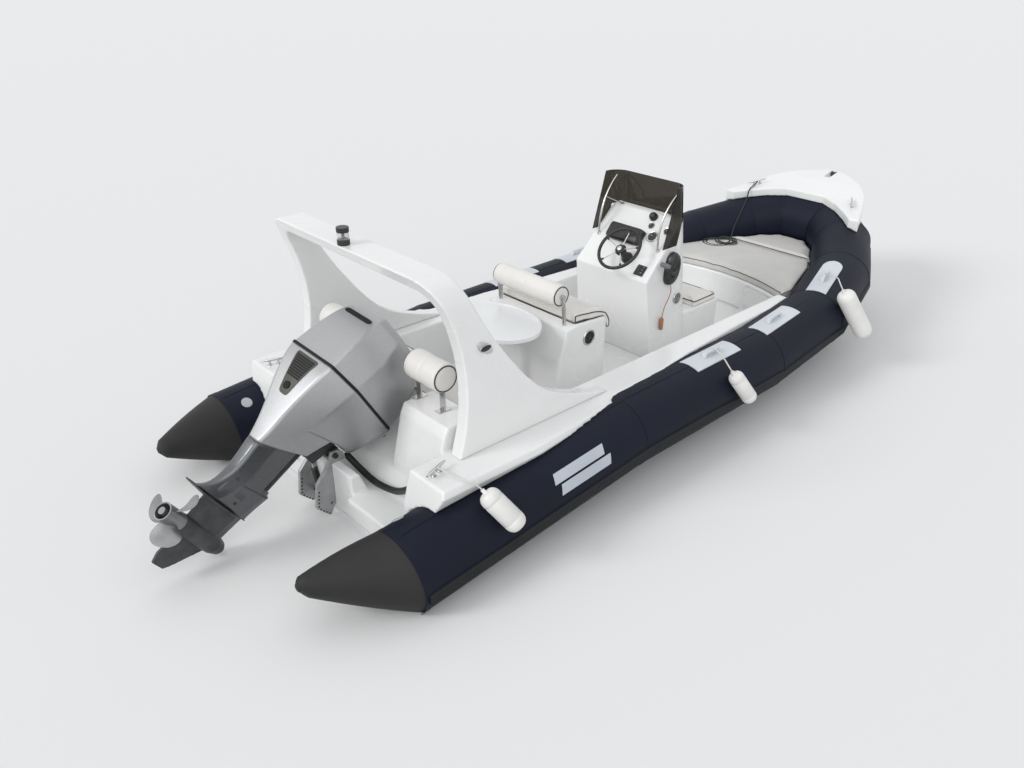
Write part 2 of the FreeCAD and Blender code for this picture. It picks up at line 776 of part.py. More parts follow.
def make_towing_eye(stem_cut):
    """Eye plate on the stem, in the middle plane."""
    x, z = TOWING_EYE
    half = TOWING_EYE_THICK / 2
    nose = rod(v(x, -half, z), v(x, half, z), TOWING_EYE_R)
    tab = box(x - TOWING_EYE_REACH, x, -half, half, z - TOWING_EYE_R, z + TOWING_EYE_R)
    hole = rod(v(x, -2 * half, z), v(x, 2 * half, z), TOWING_HOLE_R)
    return tab.fuse(nose).cut(hole).cut(stem_cut)


def make_cushions(tube_cut):
    """Foredeck pads, aft and forward of the seam."""
    aft_edge = []
    for i in range(9):
        y = -RISER_HALF + 2 * RISER_HALF * i / 8
        aft_edge.append((RISER_X + 10.0 - RISER_SAG * (y / RISER_HALF) ** 2, y))
    outline = aft_edge + [(1560.0, 760.0), (2300.0, 640.0), (2880.0, 300.0)]
    outline += [(2880.0, -300.0), (2300.0, -640.0), (1560.0, -760.0)]
    z0 = FOREDECK_Z + CUSHION_SEAT
    pad = extrude_plan(outline, z0, z0 + CUSHION_THICK).cut(tube_cut)
    aft = pad.common(box(-BIG, CUSHION_SEAM_X - CUSHION_GAP / 2, -BIG, BIG, 0, BIG))
    fwd = pad.common(box(CUSHION_SEAM_X + CUSHION_GAP / 2, CUSHION_FWD_X, -BIG, BIG, 0, BIG))
    return aft, fwd


# Console, screen and wheel

def console_plan(half, front, z):
    """Level section of the console: square aft, rounded forward corners."""
    aft = -100.0
    points = [(aft, -half), (front, -half), (front, half), (aft, half)]
    return ring_wire(points, [20.0, CONSOLE_CORNER_R, CONSOLE_CORNER_R, 20.0], z)


def make_console():
    """Tapered moulding with the sloping dash, and the forward seat's locker."""
    foot = console_plan(CONSOLE_FOOT_HALF, CONSOLE_FOOT_X, FLOOR_Z)
    head = console_plan(CONSOLE_TOP_HALF, CONSOLE_TOP_X, CONSOLE_TOP_Z)
    body = Part.makeLoft([foot, head], True, True)
    body = body.common(extrude_side(CONSOLE_SIDE, -BIG / 4, BIG / 4))
    half = FRONT_SEAT_HALF
    seat = box(CONSOLE_FOOT_X - 240.0, FRONT_SEAT_X, -half, half, FLOOR_Z, FRONT_SEAT_Z)
    upright = [e for e in seat.Edges if e.BoundBox.ZLength > 100 and e.BoundBox.XMin > CONSOLE_FOOT_X]
    seat = seat.makeFillet(FRONT_SEAT_CORNER, upright)
    inner = half - LOCKER_WALL
    locker_front = FRONT_SEAT_X - LOCKER_WALL
    locker = box(FRONT_LOCKER_AFT_X, locker_front, -inner, inner, FLOOR_Z + LOCKER_FLOOR, BIG / 4)
    return body.fuse(seat).cut(locker).removeSplitter()


def make_front_lid():
    """Padded lid of the forward seat."""
    z0 = FRONT_SEAT_Z + FIT_GAP
    half = FRONT_SEAT_HALF - 8.0
    pad = box(FRONT_LID_AFT_X, FRONT_SEAT_X - 8.0, -half, half, z0, z0 + FRONT_LID_THICK)
    upright = [e for e in pad.Edges if e.BoundBox.ZLength > 40 and e.BoundBox.XMin > FRONT_LID_AFT_X + 1.0]
    return pad.makeFillet(FRONT_SEAT_CORNER - 8.0, upright)


def dash_axes():
    a, b = v(DASH_A[0], 0, DASH_A[1]), v(DASH_B[0], 0, DASH_B[1])
    up = (b - a).normalize()
    out = v(-up.z, 0, up.x)
    return a, up, out


def on_dash(along, across, height):
    a, up, out = dash_axes()
    return a + up * along + v(0, across, 0) + out * height


def make_pod():
    """Hooded instrument housing on the dash."""
    rise = POD_RISE
    side = [(POD_FROM, FIT_GAP), (POD_FROM + 22.0, rise), (POD_TO, rise + 12.0), (POD_TO, FIT_GAP)]
    points = [on_dash(along, POD_CENTRE_Y - POD_HALF, height) for along, height in side]
    return polygon_face(points).extrude(v(0, 2 * POD_HALF, 0))


def make_gauges():
    """Round dials, the switch panel and the compass on the dash."""
    a, up, out = dash_axes()
    dials = []
    for along, across, radius in GAUGES:
        dials.append(Part.makeCylinder(radius, GAUGE_RISE, on_dash(along, across, FIT_GAP), out))
    along, across, half = SWITCHES
    corners = [(-half, -half), (half, -half), (half, half), (-half, half)]
    panel = polygon_face([on_dash(along + p, across + q, FIT_GAP) for p, q in corners])
    dials.append(panel.extrude(out * GAUGE_RISE))
    along, across, radius, height = COMPASS
    dome = [(0.0, radius), (height * 0.45, radius), (height * 0.8, radius * 0.72), (height, radius * 0.3)]
    dials.append(turn_profile(dome, on_dash(along, across, FIT_GAP), out))
    return Part.makeCompound(dials)


def screen_plan(inset):
    """The screen's U in plan, from its port wing round to starboard."""
    half, front, r = SCREEN_HALF - inset, SCREEN_FRONT_X - inset, SCREEN_CORNER_R - inset
    port = arc_points(front - r, half - r, r, 90.0, 0.0, 7)
    aft = SCREEN_AFT[0] - 60.0
    return [(aft, half)] + port + [(x, -y) for x, y in reversed(port)] + [(aft, -half)]


def make_screen(console):
    """Wrap-round screen that stands on the brow, with wings down the console's sides."""
    outline = screen_plan(0.0) + list(reversed(screen_plan(SCREEN_THICK)))
    shell = polygon_face([v(x, y, SCREEN_FOOT_Z) for x, y in outline])
    shell = shell.extrude(v(SCREEN_LEAN, 0, SCREEN_TOP_Z - SCREEN_FOOT_Z))
    brow = SCREEN_BROW_Z
    side = [
        (SCREEN_AFT[0], SCREEN_FOOT_Z), (365.0, SCREEN_FOOT_Z), (412.0, brow), (BIG / 4, brow),
        (BIG / 4, SCREEN_TOP_Z), (SCREEN_AFT[1], SCREEN_TOP_Z),
    ]
    return shell.common(extrude_side(side, -BIG / 4, BIG / 4)).cut(console)


def make_rails(console):
    """Bent rail from the dash to the screen's head on each side, with a post from the brow."""
    foot = on_dash(RAIL_FOOT_ALONG, RAIL_Y, FIT_GAP)
    mid = v(RAIL_MID[0], RAIL_Y, RAIL_MID[1])
    arc = Part.Arc(foot, mid, v(*RAIL_HEAD)).toShape()
    ring = Part.Wire(Part.makeCircle(RAIL_R, foot, arc.tangentAt(arc.FirstParameter)))
    bar = Part.Wire([arc]).makePipeShell([ring], True, False)
    flange = Part.makeCylinder(RAIL_FLANGE_R, 5.0, foot, dash_axes()[2])
    joint = arc.valueAt(arc.FirstParameter + (arc.LastParameter - arc.FirstParameter) * RAIL_POST_SHARE)
    post = rod(v(*RAIL_POST), joint, 0.7 * RAIL_R)
    base = Part.makeCylinder(RAIL_FLANGE_R, 4.0, v(*RAIL_POST))
    return both_sides(bar.fuse([flange, post, base]).cut(console))


def wheel_centre():
    return on_dash(WHEEL_ALONG, WHEEL_ACROSS, WHEEL_STANDOFF)


def make_wheel():
    """Rim, spokes, hub and the column that turns with them."""
    a, up, out = dash_axes()
    centre = wheel_centre()
    rim = Part.makeTorus(WHEEL_R, WHEEL_RIM_R, centre, out)
    back = WHEEL_STANDOFF - WHEEL_HUB_DEPTH
    column = [(FIT_GAP, WHEEL_COLUMN_R * 1.9), (back * 0.45, WHEEL_COLUMN_R), (back, WHEEL_COLUMN_R),
              (back, WHEEL_HUB_R), (WHEEL_STANDOFF, WHEEL_HUB_R - 8.0)]
    hub = turn_profile(column, on_dash(WHEEL_ALONG, WHEEL_ACROSS, 0.0), out)
    parts = [hub]
    for i in range(WHEEL_SPOKES):
        angle = math.radians(90.0 + 360.0 * i / WHEEL_SPOKES)
        ray = up * math.sin(angle) + v(0, 1, 0) * math.cos(angle)
        inner = centre - out * 14.0 + ray * (WHEEL_HUB_R - 10.0)
        parts.append(rod(inner, centre + ray * WHEEL_R, WHEEL_SPOKE_R))
    return rim.fuse(parts)


def make_throttle():
    """Side-mounted control box with its lever, on the console's starboard side."""
    x, z = THROTTLE
    share = (z - FLOOR_Z) / (CONSOLE_TOP_Z - FLOOR_Z)
    y = -(CONSOLE_FOOT_HALF + (CONSOLE_TOP_HALF - CONSOLE_FOOT_HALF) * share)
    lean = v(0, -1.0, (CONSOLE_FOOT_HALF - CONSOLE_TOP_HALF) / (CONSOLE_TOP_Z - FLOOR_Z))
    drum = [(FIT_GAP, THROTTLE_R), (THROTTLE_DEPTH * 0.7, THROTTLE_R * 0.9), (THROTTLE_DEPTH, THROTTLE_R * 0.6)]
    cover = turn_profile(drum, v(x, y, z), lean)
    side = y - THROTTLE_DEPTH * 0.8
    lever = rod(v(x, side, z), v(x - 85.0, side - 4.0, z + 190.0), 12.0)
    grip = rod(v(x - 85.0, side - 45.0, z + 195.0), v(x - 85.0, side + 45.0, z + 190.0), 18.0)
    return cover.fuse([lever, grip])


# Seats and table

def make_seat_box():
    """Helm seat base, open on top under the lid."""
    body = extrude_side(SEAT_SIDE, -SEAT_HALF, SEAT_HALF)
    upright = [e for e in body.Edges if e.BoundBox.ZLength > 300.0 and e.BoundBox.YLength < 1.0]
    body = body.makeFillet(SEAT_ROUND, upright)
    inner = SEAT_HALF - LOCKER_WALL
    locker = box(SEAT_LOCKER[0], SEAT_LOCKER[1], -inner, inner, FLOOR_Z + LOCKER_FLOOR, SEAT_LOCKER_TOP_Z)
    mouth = box(SEAT_MOUTH[0], SEAT_MOUTH[1], -inner, inner, SEAT_LOCKER_TOP_Z - 1.0, BIG / 4)
    return body.cut(locker.fuse(mouth))


def make_helm_cushion():
    """Seat pad and lid that rolls over the box's front edge."""
    t = SEAT_CUSHION_THICK
    gap = FIT_GAP
    top = (SEAT_SIDE[3][1], SEAT_SIDE[4][1])
    nose_x, nose_z = SEAT_SIDE[5]
    outline = [
        (SEAT_LID_AFT_X, top[0] + gap), (SEAT_LID_AFT_X, top[0] + t), (-520.0, top[1] + t),
        (-440.0, top[1] + 0.5 * t), (nose_x + SEAT_NOSE, nose_z + 20.0), (nose_x + SEAT_NOSE - 8.0, SEAT_NOSE_Z),
        (nose_x + gap, SEAT_NOSE_Z), (nose_x + gap, nose_z), (SEAT_SIDE[4][0] + gap, top[1] + gap),
        (SEAT_SIDE[3][0], top[0] + gap),
    ]
    return extrude_side(outline, -SEAT_HALF + 10.0, SEAT_HALF - 10.0)


def make_seat_hinges():
    """Two hinge barrels with their leaves on the helm seat's front face."""
    x, z = SEAT_HINGE
    hinges = []
    for y in (-SEAT_HINGE_Y, SEAT_HINGE_Y):
        barrel = rod(v(x, y - HINGE_HALF, z), v(x, y + HINGE_HALF, z), HINGE_R)
        leaf = box(SEAT_SIDE[5][0] - 20.0, x, y - HINGE_HALF, y + HINGE_HALF, z - 30.0, z - HINGE_R + 3.0)
        leaf = leaf.cut(extrude_side(SEAT_SIDE, -BIG / 4, BIG / 4))
        hinges.append(barrel.fuse(leaf))
    return Part.makeCompound(hinges)


def make_front_hinges():
    """Two hinge barrels behind the forward seat's lid, each on a leaf that ends in the lid."""
    x, z = FRONT_HINGE
    lid = make_front_lid()
    hinges = []
    for y in (-FRONT_HINGE_Y, FRONT_HINGE_Y):
        barrel = rod(v(x, y - HINGE_HALF, z), v(x, y + HINGE_HALF, z), HINGE_R)
        leaf = box(x, FRONT_LID_AFT_X, y - HINGE_HALF, y + HINGE_HALF, z - 4.0, z + HINGE_R)
        hinges.append(barrel.fuse(leaf).cut(lid))
    return Part.makeCompound(hinges)


def bolster(centre, radius, y0, y1):
    """A roll along Y with bevelled ends."""
    length = y1 - y0
    rows = [(0.0, radius - BOLSTER_BEVEL), (BOLSTER_BEVEL, radius),
            (length - BOLSTER_BEVEL, radius), (length, radius - BOLSTER_BEVEL)]
    return turn_profile(rows, v(centre[0], y0, centre[1]), v(0, 1, 0))


def make_helm_posts():
    x, z = HELM_BOLSTER
    y = BOLSTER_HALF + BOLSTER_POST_R + 4.0
    foot = v(x + 20.0, y, SEAT_SIDE[2][1] - 10.0)
    head = v(x, y, z)
    post = rod(foot, head, BOLSTER_POST_R)
    tip = rod(head + v(0, BOLSTER_POST_R, 0), head - v(0, BOLSTER_POST_R + 3.6, 0), BOLSTER_POST_R)
    return both_sides(post.fuse(tip).cut(extrude_side(SEAT_SIDE, -BIG / 4, BIG / 4)))


def make_stern_brackets():
    """Flat posts from the ledge to the underside of the stern rolls."""
    x, z = STERN_BOLSTER
    t = STERN_POST_THICK
    roll = Part.makeCylinder(STERN_BOLSTER_R + FIT_GAP, 2 * BIG, v(x, -BIG, z), v(0, 1, 0))
    posts = []
    for y in STERN_POST_Y:
        post = box(x - t, x + t, y - 22.0, y + 22.0, LEDGE_Z, z)
        foot = box(x - 45.0, x + 45.0, y - 26.0, y + 26.0, LEDGE_Z, LEDGE_Z + t)
        posts.append(both_sides(post.fuse(foot).cut(roll)))
    return Part.makeCompound(posts)


def make_table():
    ellipse = Part.Ellipse(v(0, TABLE_HALF_Y, 0), v(TABLE_HALF_X, 0, 0), v(0, 0, 0))
    top = Part.Face(Part.Wire(ellipse.toShape())).extrude(v(0, 0, TABLE_THICK))
    inner = Part.Ellipse(v(0, TABLE_HALF_Y - TABLE_RIM, 0), v(TABLE_HALF_X - TABLE_RIM, 0, 0), v(0, 0, 0))
    dish = Part.Face(Part.Wire(inner.toShape())).extrude(v(0, 0, TABLE_THICK))
    dish.translate(v(0, 0, TABLE_THICK - 12.0))
    table = top.cut(dish)
    table.translate(v(TABLE_X, 0, TABLE_Z - TABLE_THICK))
    return table


def make_pedestal():
    post = Part.makeCylinder(PEDESTAL_R, TABLE_Z - TABLE_THICK - FLOOR_Z, v(TABLE_X, 0, FLOOR_Z))
    foot = Part.makeCylinder(115.0, 14.0, v(TABLE_X, 0, FLOOR_Z))
    head = Part.makeCylinder(95.0, 10.0, v(TABLE_X, 0, TABLE_Z - TABLE_THICK - 10.0))
    return post.fuse([foot, head])


def make_bench_cushion():
    z0 = BENCH_Z + CUSHION_SEAT
    top = z0 + BENCH_CUSHION_THICK
    return box(LEDGE_FWD_X + 65.0, BENCH_FRONT_X + 10.0, -BENCH_PAD_HALF, BENCH_PAD_HALF, z0, top)


def make_speakers():
    """One speaker on each side of the helm seat's base."""
    x, z = SPEAKER_AT
    rows = [(FIT_GAP, SPEAKER_R), (SPEAKER_DEPTH * 0.5, SPEAKER_R), (SPEAKER_DEPTH, SPEAKER_R * 0.85)]
    return both_sides(turn_profile(rows, v(x, SEAT_HALF, z), v(0, 1, 0)))


def door_frame():
    """Placement on the foredeck riser: x forward into it, y along it, z up."""
    x = RISER_X - RISER_SAG * (DOOR_Y / RISER_HALF) ** 2
    slope = -2.0 * RISER_SAG * DOOR_Y / RISER_HALF ** 2
    return Placement(v(x, DOOR_Y, DOOR_Z), Rotation(v(0, 0, 1), -math.degrees(math.atan(slope))))


def make_door_pocket():
    """The door's rebate and the locker behind it."""
    back = DOOR_THICK - DOOR_PROUD + FIT_GAP
    wide, high = DOOR_WIDTH / 2 + DOOR_GAP, DOOR_HEIGHT / 2 + DOOR_GAP
    rebate = box(-60.0, back, -wide, wide, -high, high)
    seat = 28.0
    wide, high = wide - seat, high - seat
    locker = box(back - 1.0, back + LOCKER_DEPTH, -wide, wide, -high, high)
    pocket = rebate.fuse(locker)
    pocket.Placement = door_frame()
    return pocket


def make_door():
    """Foredeck locker's door with its hinge barrels."""
    wide, high = DOOR_WIDTH / 2, DOOR_HEIGHT / 2
    door = box(-DOOR_PROUD, DOOR_THICK - DOOR_PROUD, -wide, wide, -high, high)
    edges = [e for e in door.Edges if e.BoundBox.XLength > DOOR_THICK - 1.0 and e.BoundBox.YLength < 1.0]
    door = door.makeFillet(22.0, edges)
    parts = []
    for z in (-high * 0.5, high * 0.5):
        foot = v(DOOR_HINGE[0], DOOR_HINGE[1], z - 20.0)
        barrel = rod(foot, foot + v(0, 0, 40.0), HINGE_R - 1.5)
        leaf = box(DOOR_HINGE[0], -DOOR_PROUD + 0.5, wide - 30.0, DOOR_HINGE[1], z - 20.0, z + 20.0)
        parts += [barrel, leaf]
    door = door.fuse(parts)
    door.Placement = door_frame()
    return door


# Arch

def make_vents():
    """A bright oval vent on the outer side of each arch leg."""
    rise = ARCH_HEAD_Z - ARCH_CORNER_R - DECK_Z
    y = ARCH_FOOT_OUT + (ARCH_HEAD_OUT - ARCH_FOOT_OUT) * (VENT_Z - DECK_Z) / rise
    face = Part.Face(Part.Wire(Part.Ellipse(v(0, 0, 0), VENT_LONG, VENT_SHORT).toShape()))
    vent = face.extrude(v(0, 0, VENT_DEPTH))
    lean = math.degrees(math.atan2(ARCH_FOOT_OUT - ARCH_HEAD_OUT, rise))
    turn = Rotation(v(1, 0, 0), -90.0 + lean).multiply(Rotation(v(0, 0, 1), 35.0))
    vent.Placement = Placement(v(VENT_X, y + FIT_GAP, VENT_Z), turn)
    return both_sides(vent)


def spline_edge(points, y):
    curve = Part.BSplineCurve()
    curve.interpolate([v(x, y, z) for x, z in points])
    return curve.toShape()


def make_arch():
    """Swept side profile, cut to a leaning hoop seen from ahead."""
    y0 = -BIG / 4
    aft = spline_edge(ARCH_AFT, y0)
    head = Part.makeLine(v(ARCH_AFT[-1][0], y0, ARCH_AFT[-1][1]), v(ARCH_FWD[0][0], y0, ARCH_FWD[0][1]))
    fwd = spline_edge(ARCH_FWD, y0)
    foot = Part.makeLine(v(ARCH_FWD[-1][0], y0, DECK_Z), v(ARCH_AFT[0][0], y0, DECK_Z))
    side = Part.Face(Part.Wire([aft, head, fwd, foot])).extrude(v(0, BIG / 2, 0))
    outer = hoop(ARCH_FOOT_OUT, ARCH_HEAD_OUT, ARCH_HEAD_Z, ARCH_CORNER_R)
    foot, head = ARCH_FOOT_OUT - ARCH_LEG, ARCH_HEAD_OUT - ARCH_LEG
    inner = hoop(foot, head, ARCH_HEAD_Z - ARCH_BAR, ARCH_CORNER_R - 70.0)
    return side.common(outer.cut(inner))


def hoop(foot, head, top, corner):
    """Front-view hoop outline, drawn out along the boat."""
    right = arc_points(head - corner, top - corner, corner, 0.0, 90.0, 9)
    points = [(foot, DECK_Z - 1.0)] + right + [(-y, z) for y, z in reversed(right)] + [(-foot, DECK_Z - 1.0)]
    return extrude_front(points, -3000.0, -500.0)


def make_light():
    z = ARCH_HEAD_Z
    base = Part.makeCylinder(LIGHT_R, 34.0, v(LIGHT_X, 0, z))
    cap = Part.makeCylinder(LIGHT_R, 30.0, v(LIGHT_X, 0, z + 34.0 + 42.0))
    core = Part.makeCylinder(9.0, 42.0, v(LIGHT_X, 0, z + 34.0))
    return base.fuse([core, cap])


def make_lens():
    z = ARCH_HEAD_Z + 34.0
    outer = Part.makeCylinder(LIGHT_R - 2.0, 42.0, v(LIGHT_X, 0, z))
    return outer.cut(Part.makeCylinder(LIGHT_R - 7.0, 42.0, v(LIGHT_X, 0, z)))


# Outboard motor, drawn upright and then tilted and steered

def tilt_placement():
    return Placement(PIVOT, Rotation(v(0, 1, 0), TILT))


def steer_placement():
    back = v(-SWIVEL_BACK, 0, 0)
    turn = Placement(back, Rotation(v(0, 0, 1), STEER)).multiply(Placement(back * -1.0, Rotation()))
    return tilt_placement().multiply(turn)


def placed(shape, placement):
    moved = shape.copy()
    moved.Placement = placement.multiply(moved.Placement)
    return moved


def ring_wire(points, radii, z):
    """A closed outline in plan with its corners rounded by tangent arcs."""
    count = len(points)
    edges = []
    joins = []
    for i in range(count):
        p0 = v(points[i - 1][0], points[i - 1][1], z)
        p1 = v(points[i][0], points[i][1], z)
        p2 = v(points[(i + 1) % count][0], points[(i + 1) % count][1], z)
        d0, d1 = (p0 - p1).normalize(), (p2 - p1).normalize()
        half = d0.getAngle(d1) / 2
        reach = radii[i] / math.tan(half)
        mid = (d0 + d1).normalize()
        centre = p1 + mid * (radii[i] / math.sin(half))
        joins.append((p1 + d0 * reach, centre - mid * radii[i], p1 + d1 * reach))
    for i in range(count):
        start, middle, end = joins[i]
        edges.append(Part.Arc(start, middle, end).toShape())
        edges.append(Part.makeLine(end, joins[(i + 1) % count][0]))
    return Part.Wire(edges)


UPPER_RINGS = [
    # z, front x, shoulder x, rear x, front half, middle half, rear half
    (COWL_SEAM_Z, 150.0, 20.0, -630.0, 190.0, 290.0, 190.0),
    (560.0, 130.0, 0.0, -600.0, 180.0, 275.0, 170.0),
    (730.0, 70.0, -40.0, -555.0, 150.0, 215.0, 140.0),
    (COWL_TOP_Z, 10.0, -80.0, -500.0, 110.0, 150.0, 105.0),
]
LOWER_RINGS = [
    (PAN_REAR_Z, -70.0, -130.0, -505.0, 48.0, 66.0, 48.0),
    (-40.0, 20.0, -50.0, -545.0, 100.0, 150.0, 95.0),
    (120.0, 95.0, -10.0, -585.0, 150.0, 225.0, 140.0),
    (COWL_SEAM_Z - SEAM_GAP, 150.0, 20.0, -630.0, 190.0, 290.0, 190.0),
]
HOUSING_RINGS = [
    (PLATE_Z + 6.0, -120.0, -190.0, -480.0, 34.0, 46.0, 34.0),
    (-430.0, -100.0, -160.0, -448.0, 46.0, 62.0, 46.0),
    (PAN_REAR_Z, -80.0, -140.0, -490.0, 46.0, 62.0, 46.0),
    (PAN_FRONT_Z, -80.0, -140.0, -490.0, 46.0, 62.0, 46.0),
]


def ring_stack(rows, scale_radii):
    wires = []
    for z, front, shoulder, rear, front_half, mid_half, rear_half in rows:
        inset = min(190.0, 0.3 * (front - rear))
        points = [
            (front, -front_half), (shoulder, -mid_half), (rear + inset, -mid_half), (rear, -rear_half),
            (rear, rear_half), (rear + inset, mid_half), (shoulder, mid_half), (front, front_half),
        ]
        wires.append(ring_wire(points, [r * scale_radii for r in (50.0, 70.0, 60.0, 30.0, 30.0, 60.0, 70.0, 50.0)], z))
    return Part.makeLoft(wires, True, True)


def pan_split(offset):
    """Everything below the sloping joint between the lower cover and the leg."""
    outline = [(400.0, PAN_FRONT_Z + 60.0 + offset), (-100.0, PAN_FRONT_Z - 30.0 + offset),
               (-900.0, PAN_REAR_Z - 150.0 + offset), (-900.0, -1500.0), (400.0, -1500.0)]
    return extrude_side(outline, -500.0, 500.0)


def steering_axis_rod(radius, z0, z1):
    """A cylinder round the steering axis, in the motor's upright frame."""
    return Part.makeCylinder(radius, z1 - z0, v(-SWIVEL_BACK, 0, z0))


def make_lower_cowl():
    """Lower cover, hollow round the swivel bracket, with the boss that turns on it."""
    cowl = ring_stack(LOWER_RINGS, 0.6).cut(pan_split(0.0))
    ahead = box(-SWIVEL_BACK - PAN_CUT_BACK, BIG / 4, -BIG / 4, BIG / 4, -BIG / 4, PAN_FLOOR_Z)
    cowl = cowl.cut(ahead.fuse(steering_axis_rod(PAN_HOLLOW_R, -BIG / 4, PAN_FLOOR_Z)))
    return cowl.fuse(steering_axis_rod(STEER_TUBE_R, SWIVEL_TOP_Z + FIT_GAP, PAN_FLOOR_Z + 1.0))


def make_housing():
    """Leg below the lower cover, with the yoke under the steering tube."""
    leg = ring_stack(HOUSING_RINGS, 0.45).common(pan_split(-PAN_SPLIT))
    ahead = box(LEG_FRONT_X, BIG / 4, -BIG / 4, BIG / 4, YOKE_Z, BIG / 4)
    leg = leg.cut(ahead.fuse(steering_axis_rod(LEG_HOLLOW_R, YOKE_Z, BIG / 4)))
    return leg.fuse(steering_axis_rod(YOKE_R, YOKE_Z - 1.0, STEER_TUBE_Z - FIT_GAP))


def make_gearcase():
    """Plate, strut, torpedo and skeg as one casting."""
    plate_plan = [(-180.0, 34.0), (-300.0, 78.0), (-520.0, 100.0), (-590.0, 96.0), (-602.0, 60.0)]
    plan = plate_plan + [(x, -y) for x, y in reversed(plate_plan)]
    plate = extrude_plan(plan, PLATE_Z - 10.0, PLATE_Z)
    strut_rows = [
        (PLATE_Z - 5.0, -110.0, -490.0, 42.0),
        (SHAFT_Z + 30.0, -130.0, -470.0, 36.0),
    ]
    wires = []
    for z, front, rear, half in strut_rows:
        points = [(front, 0.0), (front - 90.0, half), (rear + 120.0, half), (rear, 6.0), (rear, -6.0),
                  (rear + 120.0, -half), (front - 90.0, -half)]
        wires.append(Part.makePolygon([v(x, y, z) for x, y in points + [points[0]]]))
    strut = Part.makeLoft(wires, True, True)
    profile = [
        (-55.0, 0.0), (-62.0, 22.0), (-95.0, 46.0), (-160.0, 62.0), (-300.0, 66.0), (-470.0, 58.0), (-483.0, 56.0), (-483.0, 0.0),
    ]
    face = polygon_face([v(x, 0, SHAFT_Z + r) for x, r in profile])
    torpedo = face.revolve(v(0, 0, SHAFT_Z), v(1, 0, 0), 360)
    skeg_side = [(-170.0, SHAFT_Z - 40.0), (-300.0, SKEG_Z + 30.0), (-330.0, SKEG_Z), (-420.0, SKEG_Z),
                 (-445.0, SKEG_Z + 60.0), (-440.0, SHAFT_Z - 40.0)]
    skeg = extrude_side(skeg_side, -9.0, 9.0)
    upper = box(-480.0, -120.0, -42.0, 42.0, PLATE_Z - 1.0, PLATE_Z + 5.5)
    return plate.fuse([strut, torpedo, skeg, upper]).removeSplitter()


def blade_section(radius, chord, thick):
    """A thin lens section laid round the shaft at one radius."""
    pitch = math.atan2(PROP_PITCH, 2 * math.pi * radius)
    along = v(math.sin(pitch), math.cos(pitch), 0)
    up = v(0, 0, 1)
    normal = along.cross(up)
    centre = up * radius
    a, b = centre - along * (chord / 2), centre + along * (chord / 2)
    m1, m2 = centre + normal * (thick / 2), centre - normal * (thick / 2)
    return Part.Wire([Part.Arc(a, m1, b).toShape(), Part.Arc(b, m2, a).toShape()])


def make_propeller():
    rows = [(PROP_HUB_R - 12.0, 95.0, 14.0), (90.0, 150.0, 10.0), (135.0, 165.0, 7.0),
            (168.0, 120.0, 5.0), (PROP_R - 1.0, 50.0, 3.0)]
    blade = Part.makeLoft([blade_section(*row) for row in rows], True, False)
    hub = Part.makeCylinder(PROP_HUB_R, PROP_HUB_LENGTH, v(-PROP_HUB_LENGTH / 2, 0, 0), v(1, 0, 0))
    mouth = v(-PROP_HUB_LENGTH / 2, 0, 0)
    hollow = Part.makeCylinder(PROP_HUB_R - 8.0, PROP_HUB_LENGTH * 0.8, mouth, v(1, 0, 0))
    inner = Part.makeCylinder(22.0, PROP_HUB_LENGTH * 0.9, v(-PROP_HUB_LENGTH / 2 - 8.0, 0, 0), v(1, 0, 0))
    blades = []
    for i in range(PROP_BLADES):
        copy = blade.copy()
        copy.rotate(v(0, 0, 0), v(1, 0, 0), 360.0 * i / PROP_BLADES + 20.0)
        blades.append(copy)
    shell = hub.cut(hollow).fuse(inner)
    bladed = shell.fuse(blades).cut(hollow.cut(inner))
    bladed.translate(v(PROP_X, 0, SHAFT_Z))
    return bladed


def make_clamps():
    """Two clamp brackets on the transom, joined by the tilt tube's ends."""
    drop = PIVOT.z - TRANSOM_TOP_Z
    side = [
        (-26.0, 34.0), (26.0, 34.0), (60.0, 0.0), (75.0, -drop + 5.0), (30.0, -drop - 0.0), (-28.5, -drop),
        (-28.5, -340.0), (-75.0, -420.0), (-170.0, -330.0), (-150.0, -160.0), (-60.0, -60.0), (-36.0, 0.0),
    ]
    side = [(x + PIVOT.x, z + PIVOT.z) for x, z in side]
    plate = extrude_side(side, CLAMP_HALF - CLAMP_THICK, CLAMP_HALF)
    bore = rod(v(PIVOT.x, -BIG / 4, PIVOT.z), v(PIVOT.x, BIG / 4, PIVOT.z), TILT_TUBE_R + PIN_PLAY)
    foot = cylinder_ends()[0]
    pin = rod(foot - v(0, BIG / 4, 0), foot + v(0, BIG / 4, 0), CYLINDER_PIN_R + PIN_PLAY)
    return both_sides(plate.cut([bore, pin]))


def make_swivel():
    """Swivel bracket: tilt tube, slotted block and steering tube, drawn upright."""
    reach = CLAMP_HALF + 12.0
    tube = rod(v(0, -reach, 0), v(0, reach, 0), TILT_TUBE_R)
    block = extrude_side([(30.0, 30.0), (10.0, SWIVEL_TOP_Z), (-150.0, SWIVEL_TOP_Z), (-150.0, -130.0),
                          (-60.0, -130.0), (-42.0, -43.0), (24.0, -24.0)], -SWIVEL_HALF, SWIVEL_HALF)
    neck = box(-SWIVEL_BACK, -140.0, -STEER_TUBE_R, STEER_TUBE_R, -130.0, SWIVEL_TOP_Z)
    steering = steering_axis_rod(STEER_TUBE_R, STEER_TUBE_Z, SWIVEL_TOP_Z)
    half = CYLINDER_SLOT_HALF
    slot = box(-112.0, 60.0, -half, half, -260.0, CYLINDER_EYE[1] + CYLINDER_EYE_R + CYLINDER_SLOT_ROOM)
    return block.fuse([neck, steering]).cut(slot).fuse(tube)


